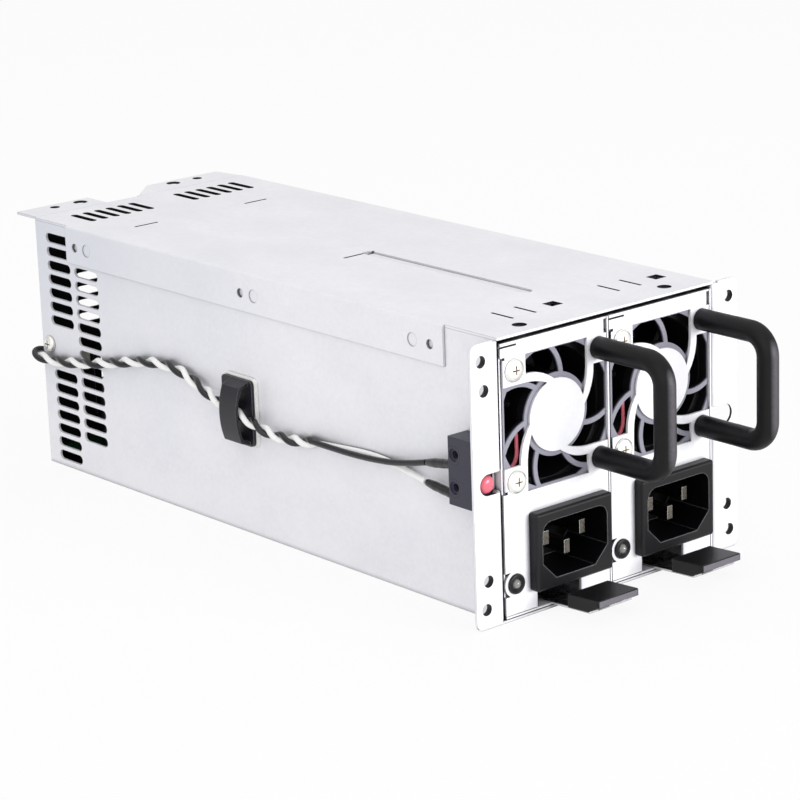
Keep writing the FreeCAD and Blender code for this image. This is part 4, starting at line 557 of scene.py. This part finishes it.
def insulation(name, dark, light, roughness=0.3):
    """The skin of a wire: smooth plastic with faint rings from the die."""
    finish = Finish(name, light, roughness)
    place = finish.place()
    skin = finish.noise(place, 700.0, 2.0)
    finish.give("Base Color", finish.mixed(skin, dark, light))
    finish.give("Roughness", roughness + skin * 0.14)
    finish.relief(skin, 0.012)
    return finish.material


def foam():
    """White foam tape, open at its cut edge."""
    finish = Finish("foam", tone(240, 239, 236), 0.85)
    place = finish.place()
    cells = finish.add("ShaderNodeTexVoronoi", None, {"Vector": place, "Scale": 2600.0}, 0)
    finish.give("Base Color", finish.mixed(cells, tone(222, 221, 216), tone(250, 250, 248)))
    finish.relief(cells, 0.05)
    return finish.material


def lamp_epoxy():
    """The clear milky dome of a status lamp."""
    finish = Finish("lamp_epoxy", tone(214, 214, 210), 0.12, Transmission_Weight=0.7, IOR=1.5)
    place = finish.place()
    haze = finish.noise(place, 500.0, 2.0)
    finish.give("Base Color", finish.mixed(haze, tone(196, 197, 192), tone(232, 232, 230)))
    finish.give("Roughness", 0.08 + haze * 0.14)
    return finish.material


def circuit_board():
    """Green solder mask over glass cloth."""
    finish = Finish("circuit_board", tone(10, 44, 26), 0.35)
    place = finish.place()
    cloth = finish.noise(place, 1600.0, 1.0)
    tracks = finish.flakes(place, 260.0)
    finish.give("Base Color", finish.mixed(tracks, tone(7, 32, 19), tone(14, 52, 31)))
    finish.give("Roughness", 0.28 + cloth * 0.15)
    finish.relief(cloth + (tracks > 0.5) * 0.5, 0.02)
    return finish.material


ZINC = (tone(230, 231, 236), tone(243, 242, 246), tone(118, 104, 106), 0.44, 0.15)
BLACK = (tone(3, 3, 6), tone(10, 10, 14), 0.34)
WHITE_SKIN = (tone(238, 237, 236), tone(253, 252, 251))
FINISHES = {
    "zinc_steel": plated_sheet("zinc_steel", *ZINC),
    "spring_steel": bright_metal("spring_steel", tone(190, 190, 192), tone(222, 222, 224), 0.2, (1, 0.1, 1)),
    "screw_steel": bright_metal("screw_steel", tone(240, 238, 232), tone(250, 249, 244), 0.3),
    "coated_handle": coated_handle(),
    "black_plastic": moulded("black_plastic", *BLACK, edge_light=0.4, Specular_IOR_Level=0.26),
    "fan_plastic": fan_plastic(),
    "white_nylon": moulded("white_nylon", tone(226, 224, 214), tone(238, 237, 228), 0.4),
    "foam": foam(),
    "lead_insulation": insulation("lead_insulation", *WHITE_SKIN),
    "black_insulation": insulation("black_insulation", tone(14, 14, 17), tone(30, 30, 35), 0.16),
    "white_insulation": insulation("white_insulation", *WHITE_SKIN),
    "red_insulation": insulation("red_insulation", tone(250, 104, 124), tone(255, 146, 162)),
    "plated_contact": bright_metal("plated_contact", tone(96, 93, 88), tone(196, 192, 184), 0.12),
    "red_cap": moulded(
        "red_cap", tone(232, 84, 104), tone(246, 112, 130), 0.22, 0.4, 0.004, 0.1, Subsurface_Weight=0.3
    ),
    "lamp_epoxy": lamp_epoxy(),
    "circuit_board": circuit_board(),
    "aluminium": bright_metal("aluminium", tone(186, 188, 192), tone(214, 216, 220), 0.3, (1, 1, 0.1)),
    "capacitor_sleeve": moulded("capacitor_sleeve", tone(22, 24, 34), tone(34, 38, 52), 0.24),
    "ferrite": moulded("ferrite", tone(58, 58, 60), tone(76, 76, 78), 0.6, 0.8, 0.03),
}
SPECIAL = {
    "alarm_switch": switch_plastic(),
    "cable_clip": moulded(
        "clip_plastic", tone(16, 15, 22), tone(34, 33, 42), 0.3, edge_light=0.5, Specular_IOR_Level=0.4
    ),
}
# The inlet's plastic gets a strong painted highlight along its edges, and the latch tab a painted sheen on
# its front
MODULE_FINISHES = {
    "_inlet": moulded("inlet_plastic", *BLACK, edge_light=0.95, Specular_IOR_Level=0.26),
    "_inlet_pins": blade_metal(),
    "_latch_tab": moulded(
        "tab_plastic", tone(3, 3, 6), tone(12, 12, 16), 0.34, edge_light=0.5, sheen_from=(-0.2, -1, 0),
        Specular_IOR_Level=0.26,
    ),
    "_fan_rotor": moulded("rotor_plastic", tone(8, 8, 11), tone(14, 14, 18), 0.5, Specular_IOR_Level=0.15),
}
for side in SIDES:
    SPECIAL.update({side + name: material for name, material in MODULE_FINISHES.items()})
SPECIAL.update(dict.fromkeys(
    ("cage_chassis", "top_cover", "rear_panel", "rear_brackets"),
    plated_sheet("cage_steel", *ZINC, cage=True),
))
# Painted reflection: the fan screws' cross recesses take a warm tint
FAN_SCREW_RECESS_REFLECTION = bright_metal("painted_reflection_recess", tone(172, 134, 96), tone(206, 170, 128), 0.4)
# Painted shade: the cage screws' cross recesses are dark
CAGE_SCREW_RECESS_SHADE = bright_metal("painted_shade_recess", tone(44, 41, 40), tone(84, 80, 78), 0.4)


def dress_frame():
    """Gives every carried-over solid its finish, and rounds the edges of the inlets' blades."""
    for name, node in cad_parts.items():
        for slot in node.material_slots:
            slot.material = SPECIAL.get(name, FINISHES[slot.material.name])
        if name.endswith("_pins"):
            ease = node.modifiers.new("eased_edges", "BEVEL")
            ease.width = PIN_EDGE * MM
            ease.segments = 3


def shown(name, data, *materials):
    """A new object of that data, in the scene, with its materials."""
    piece = bpy.data.objects.new(name, data)
    bpy.context.scene.collection.objects.link(piece)
    for material in materials:
        data.materials.append(material)
    return piece


def made(name, mesh):
    """What was built in a mesh, as the data of an object."""
    data = bpy.data.meshes.new(name)
    mesh.to_mesh(data)
    mesh.free()
    return data


def spline(name, places, depth=0.0):
    """A smooth curve with the route's points as its control points."""
    data = bpy.data.curves.new(name, "CURVE")
    data.dimensions = "3D"
    data.resolution_u = 24
    data.bevel_depth = depth
    data.bevel_resolution = 5
    data.use_fill_caps = depth > 0
    line = data.splines.new("NURBS")
    line.points.add(len(places) - 1)
    for point, place in zip(line.points, places):
        point.co = (*place, 1.0)
    line.order_u = 3
    line.use_endpoint_u = True
    return data


def points_of(places):
    """Points read along the smooth curve of a route."""
    guide = shown("route_guide", spline("route_guide", places))
    bpy.context.view_layer.update()
    line = bpy.data.meshes.new_from_object(guide)
    points = [v.co.copy() for v in line.vertices]
    bpy.data.objects.remove(guide)
    bpy.data.meshes.remove(line)
    return points


def heading(points, index):
    """The way that a run of points goes at one of them."""
    return (points[min(index + 1, len(points) - 1)] - points[max(index - 1, 0)]).normalized()


def tube(mesh, centres, radii, material_index, sides=14):
    """Adds a round tube along the centres to a mesh, closed at both ends, with a radius for each centre."""
    rings = []
    normal = (centres[1] - centres[0]).orthogonal().normalized()
    for index, centre in enumerate(centres):
        ahead = heading(centres, index)
        normal = (normal - ahead * normal.dot(ahead)).normalized()
        side = ahead.cross(normal)
        ring = []
        for step in range(sides):
            turn = math.tau * step / sides
            reach = normal * math.cos(turn) + side * math.sin(turn)
            ring.append(mesh.verts.new(centre + reach * radii[index]))
        rings.append(ring)
    faces = [mesh.faces.new(rings[0][::-1]), mesh.faces.new(rings[-1])]
    for near, far in zip(rings, rings[1:]):
        for step in range(sides):
            after = (step + 1) % sides
            faces.append(mesh.faces.new((near[step], near[after], far[after], far[step])))
    for face in faces:
        face.material_index = material_index
        face.smooth = True


def twisted_strands(points, end_offset):
    """Two strands wound round a route, tighter near its end, the first ending on the side of end_offset."""
    lengths = [0.0]
    for near, far in zip(points, points[1:]):
        lengths.append(lengths[-1] + (far - near).length)
    first, second = [], []
    ahead = heading(points, len(points) - 1)
    normal = (end_offset - ahead * end_offset.dot(ahead)).normalized()
    for index in range(len(points) - 1, -1, -1):
        ahead = heading(points, index)
        normal = (normal - ahead * normal.dot(ahead)).normalized()
        left = (lengths[-1] - lengths[index]) / MM
        turn = -math.tau * (min(left, TIGHT_SPAN) / TIGHT_PITCH + max(left - TIGHT_SPAN, 0.0) / TWIST_PITCH)
        offset = Quaternion(ahead, turn) @ normal * STRAND_OFFSET * MM
        first.append(points[index] + offset)
        second.append(points[index] - offset)
    return first[::-1], second[::-1]


def alarm_lead():
    """The black and white pair that leaves the rear of the cage and runs along its wall."""
    points = points_of([beside_wall(*place) for place in LEAD_ROUTE])
    end_offset = beside_wall(*BLACK_ROUTE[0]) - beside_wall(*WHITE_ROUTE[0])
    black, white = twisted_strands(points, end_offset)
    mesh = bmesh.new()
    for index, strand in enumerate((white, black)):
        tube(mesh, strand, [STRAND_RADIUS * MM] * len(strand), index)
    skins = FINISHES["lead_insulation"], FINISHES["black_insulation"]
    pair = shown("twisted_pair", made("twisted_pair", mesh), *skins)
    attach(pair, "cage")
    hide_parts("alarm_lead")


def switch_tail(name, route, slot, node):
    """One strand of the pair where it goes on by itself to the switch."""
    places = [beside_wall(*place) for place in route]
    tail = shown(name, spline(name, places, TAIL_DIAMETER / 2 * MM), FINISHES[slot])
    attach(tail, "cage")
    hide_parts(node)


def fan_wire(side):
    """The red wire that leaves the fan's hub and goes back along its frame."""
    centre = (SIDES[side] + FAN_OFFSET, 0.0, FAN_HEIGHT)
    places = [at(x + centre[0], y, z + centre[2]) for x, y, z in FAN_LEAD_ROUTE]
    name = side + "_fan_wire"
    wire = shown(name, spline(name, places, FAN_LEAD_DIAMETER / 2 * MM), FINISHES["red_insulation"])
    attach(wire, side + "_module")
    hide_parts(side + "_fan_lead")


def terminal_sleeves():
    """Shrunk sleeves that grip the switch's terminals and close down onto the two wires."""
    mesh = bmesh.new()
    for terminal, route in ((BLACK_TERMINAL, BLACK_ROUTE), (WHITE_TERMINAL, WHITE_ROUTE)):
        start, end = beside_wall(*terminal), beside_wall(*route[-1])
        ahead = (end - start).normalized() * SLEEVE_GAP * MM
        start, end = start + ahead, end - ahead
        centres, radii = [], []
        for step in range(SLEEVE_STEPS + 1):
            along = step / SLEEVE_STEPS
            closing = max(0.0, along - SLEEVE_CLOSES_FROM) / (1 - SLEEVE_CLOSES_FROM)
            ripple = sum(height * math.sin(along * waves) for height, waves in SLEEVE_RIPPLES)
            lip = SLEEVE_LIP if step in (0, SLEEVE_STEPS) else 0.0
            radius = SLEEVE_RADIUS - SLEEVE_CLOSES * closing ** 2 + ripple * (1 - closing) - lip
            centres.append(start.lerp(end, along))
            radii.append(radius * MM)
        tube(mesh, centres, radii, 0, 24)
    data = made("terminal_sleeve_pair", mesh)
    pair = shown("terminal_sleeve_pair", data, FINISHES["black_insulation"])
    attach(pair, "cage")
    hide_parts("terminal_sleeves")


def turned(name, profile, sides=48):
    """A mesh turned about Z from pairs of radius and height in millimetres."""
    mesh = bmesh.new()
    rings = []
    for radius, height in profile:
        turns = [math.tau * step / sides for step in range(sides if radius > 0 else 1)]
        rings.append([
            mesh.verts.new((radius * math.cos(t) * MM, radius * math.sin(t) * MM, height * MM)) for t in turns
        ])
    for near, far in zip(rings, rings[1:]):
        for step in range(sides):
            corners = [near[step % len(near)], near[(step + 1) % len(near)]]
            corners += [far[(step + 1) % len(far)], far[step % len(far)]]
            mesh.faces.new(list(dict.fromkeys(corners)))
    bmesh.ops.remove_doubles(mesh, verts=mesh.verts, dist=1e-7)
    bmesh.ops.recalc_face_normals(mesh, faces=mesh.faces)
    data = made(name, mesh)
    data.shade_smooth()
    data.set_sharp_from_angle(angle=SHARP_ANGLE)
    return data


def threaded(radius, length, pitch=0.7, depth=0.22):
    """The profile of a screw's shank below its head."""
    points = []
    for ridge in range(int((length - THREAD_FROM) / pitch)):
        height = -THREAD_FROM - ridge * pitch
        points += [(radius - depth, height), (radius, height - pitch / 2)]
    return points + [(radius - depth, -length + 0.4), (radius * 0.4, -length), (0, -length)]


def cross_form(top):
    """A tapering cross that cuts into a head from its top, as deep as a driver goes in."""
    mesh = bmesh.new()
    outline = []
    for quarter in range(4):
        turn = Matrix.Rotation(math.pi / 2 * quarter, 2)
        corners = (CROSS_ARM, -CROSS_HALF), (CROSS_ARM, CROSS_HALF), (CROSS_HALF, CROSS_HALF)
        outline += [turn @ Vector(corner) for corner in corners]
    rings = []
    for scale, height in ((1.12, top + 0.2), (0.5, top - CROSS_DEPTH)):
        rings.append([mesh.verts.new((x * scale * MM, y * scale * MM, height * MM)) for x, y in outline])
    mesh.faces.new(rings[0])
    mesh.faces.new(rings[1][::-1])
    for step in range(len(outline)):
        after = (step + 1) % len(outline)
        mesh.faces.new((rings[0][step], rings[1][step], rings[1][after], rings[0][after]))
    bmesh.ops.recalc_face_normals(mesh, faces=mesh.faces)
    return made("cross_form", mesh)


def screw(name, head, shank_radius, shank_length):
    """A pan head screw with a cross recess, its top towards Z."""
    stock = shown("stock", turned(name, head + threaded(shank_radius, shank_length)))
    tool = shown("tool", cross_form(head[0][1]))
    cut = stock.modifiers.new("recess", "BOOLEAN")
    cut.object = tool
    bpy.context.view_layer.update()
    seen = stock.evaluated_get(bpy.context.evaluated_depsgraph_get())
    data = bpy.data.meshes.new_from_object(seen)
    for used in (stock, tool):
        bpy.data.objects.remove(used)
    # The faces in the recess take the second material: a painted reflection on the fan screws and painted
    # shade on the cage screws
    rim = (head[0][1] - RECESS_RIM) * MM
    for face in data.polygons:
        middle = face.center
        inside = math.hypot(middle.x, middle.y) < RECESS_REACH * MM and 0 < middle.z < rim
        face.material_index = 1 if inside else 0
    return data


def standing(place, direction):
    """Where a turned piece stands, its top towards a direction."""
    return Matrix.Translation(place) @ Vector(direction).to_track_quat("Z", "Y").to_matrix().to_4x4()


def turned_piece(name, data, stands, body, node, slot, *materials):
    """A piece made of one copy of the mesh at each stand, in place of a CAD node."""
    mesh = bmesh.new()
    for stand in stands:
        start = len(mesh.verts)
        mesh.from_mesh(data)
        mesh.verts.ensure_lookup_table()
        bmesh.ops.transform(mesh, matrix=stand, verts=mesh.verts[start:])
    copies = made(name, mesh)
    copies.set_sharp_from_angle(angle=SHARP_ANGLE)
    piece = shown(name, copies, FINISHES[slot], *materials)
    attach(piece, body)
    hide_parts(node)


def small_hardware():
    """The screws, the alarm button and the two status lamps."""
    fan_screw = screw("fan_screw", PAN_HEAD, *FAN_SHANK)
    cage_screw = screw("cage_screw", CHEESE_HEAD, *CAGE_SHANK)
    dome = turned("lamp_dome", LAMP_DOME)
    holder = turned("lamp_holder", LAMP_HOLDER)
    stands = [standing(at(turn * WALL, *CAGE_SCREW_PLACE), (turn, 0, 0)) for turn in (-1, 1)]
    turned_piece(
        "cage_screw_pair", cage_screw, stands, "cage", "cage_screws", "screw_steel", CAGE_SCREW_RECESS_SHADE
    )
    stands = [standing(at(*ALARM_BUTTON), FORWARD)]
    turned_piece("alarm_cap", turned("alarm_cap", BUTTON), stands, "button", "alarm_button", "red_cap")
    for side, middle in SIDES.items():
        body = side + "_module"
        across = middle + FAN_OFFSET - FAN_SCREW
        stands = [standing(at(across, 0, FAN_HEIGHT + rise), FORWARD) for rise in (-FAN_SCREW, FAN_SCREW)]
        turned_piece(
            side + "_fan_screw_pair", fan_screw, stands, body, side + "_fan_screws", "screw_steel",
            FAN_SCREW_RECESS_REFLECTION,
        )
        stands = [standing(at(middle - LAMP_OFFSET, 0, LAMP_HEIGHT), FORWARD)]
        turned_piece(side + "_lamp_dome", dome, stands, body, side + "_status_lamp", "lamp_epoxy")
        turned_piece(side + "_lamp_ring", holder, stands, body, side + "_lamp_holder", "black_plastic")


def studio_camera():
    """The camera where the photograph was taken from."""
    azimuth = math.radians(CAMERA_AZIMUTH)
    elevation = math.radians(CAMERA_ELEVATION)
    roll = math.radians(CAMERA_ROLL)
    back = Vector((
        math.sin(azimuth) * math.cos(elevation),
        -math.cos(azimuth) * math.cos(elevation),
        math.sin(elevation),
    ))
    right = Vector((math.cos(azimuth), math.sin(azimuth), 0.0))
    up = back.cross(right)
    rolled_right = right * math.cos(roll) + up * math.sin(roll)
    rolled_up = up * math.cos(roll) - right * math.sin(roll)
    data = bpy.data.cameras.new("studio_camera")
    data.lens = CAMERA_LENS
    data.sensor_width = SENSOR
    camera = shown("studio_camera", data)
    turn = Matrix((rolled_right, rolled_up, back)).transposed().to_4x4()
    camera.matrix_world = Matrix.Translation(Vector(CAMERA_PLACE) * MM) @ turn
    bpy.context.scene.camera = camera


def softbox(name, place, aim, width, height, power):
    """A large flat lamp that faces its aim."""
    data = bpy.data.lights.new(name, "AREA")
    data.shape = "RECTANGLE"
    data.size = width * MM
    data.size_y = height * MM
    data.energy = power
    lamp = shown(name, data)
    lamp.location = Vector(place) * MM
    lamp.rotation_euler = (Vector(aim) - Vector(place)).to_track_quat("-Z", "Y").to_euler()


def studio_light():
    """Soft lamps in front, beside and above, under a sky that also looks white through a lamp dome."""
    world = bpy.data.worlds.new("studio")
    world.use_nodes = True
    bpy.context.scene.world = world
    tree = world.node_tree
    sky = tree.nodes["Background"]
    path = tree.nodes.new("ShaderNodeLightPath")
    seen = tree.nodes.new("ShaderNodeMath")
    seen.operation = "MAXIMUM"
    tree.links.new(path.outputs["Is Camera Ray"], seen.inputs[0])
    tree.links.new(path.outputs["Is Transmission Ray"], seen.inputs[1])
    strength = tree.nodes.new("ShaderNodeMapRange")
    strength.inputs["To Min"].default_value = SKY_SHINES
    strength.inputs["To Max"].default_value = SKY_LOOKS
    tree.links.new(seen.outputs[0], strength.inputs["Value"])
    tree.links.new(strength.outputs[0], sky.inputs["Strength"])
    sky.inputs["Color"].default_value = (1.0, 1.0, 1.0, 1.0)
    for name, values in SOFTBOXES.items():
        softbox(name, *values)


def studio_floor():
    """A plain white floor that keeps a soft shadow."""
    mesh = bmesh.new()
    bmesh.ops.create_grid(mesh, x_segments=1, y_segments=1, size=FLOOR_REACH * MM)
    finish = Finish("studio_floor", tone(235, 235, 236), 0.9)
    camera = finish.add("ShaderNodeLightPath", None, None, "Is Camera Ray")
    glossy = finish.add("ShaderNodeLightPath", None, None, "Is Glossy Ray")
    glow = finish.add("ShaderNodeEmission", None, {"Strength": 1.0})
    paint = Wire(finish, finish.shader.outputs[0])
    share = finish.math("MAXIMUM", camera, glossy) * FLOOR_GLOW
    both = finish.add("ShaderNodeMixShader", None, {0: share, 1: paint, 2: glow})
    finish.feed(finish.tree.nodes["Material Output"].inputs["Surface"], both)
    floor = shown("studio_floor", made("studio_floor", mesh), finish.material)


studio_camera()
studio_light()
studio_floor()
dress_frame()
alarm_lead()
switch_tail("black_tail", BLACK_ROUTE, "black_insulation", "lead_black_tail")
switch_tail("white_tail", WHITE_ROUTE, "white_insulation", "lead_white_tail")
for side in SIDES:
    fan_wire(side)
terminal_sleeves()
small_hardware()

bpy.context.scene.view_settings.view_transform = "Standard"
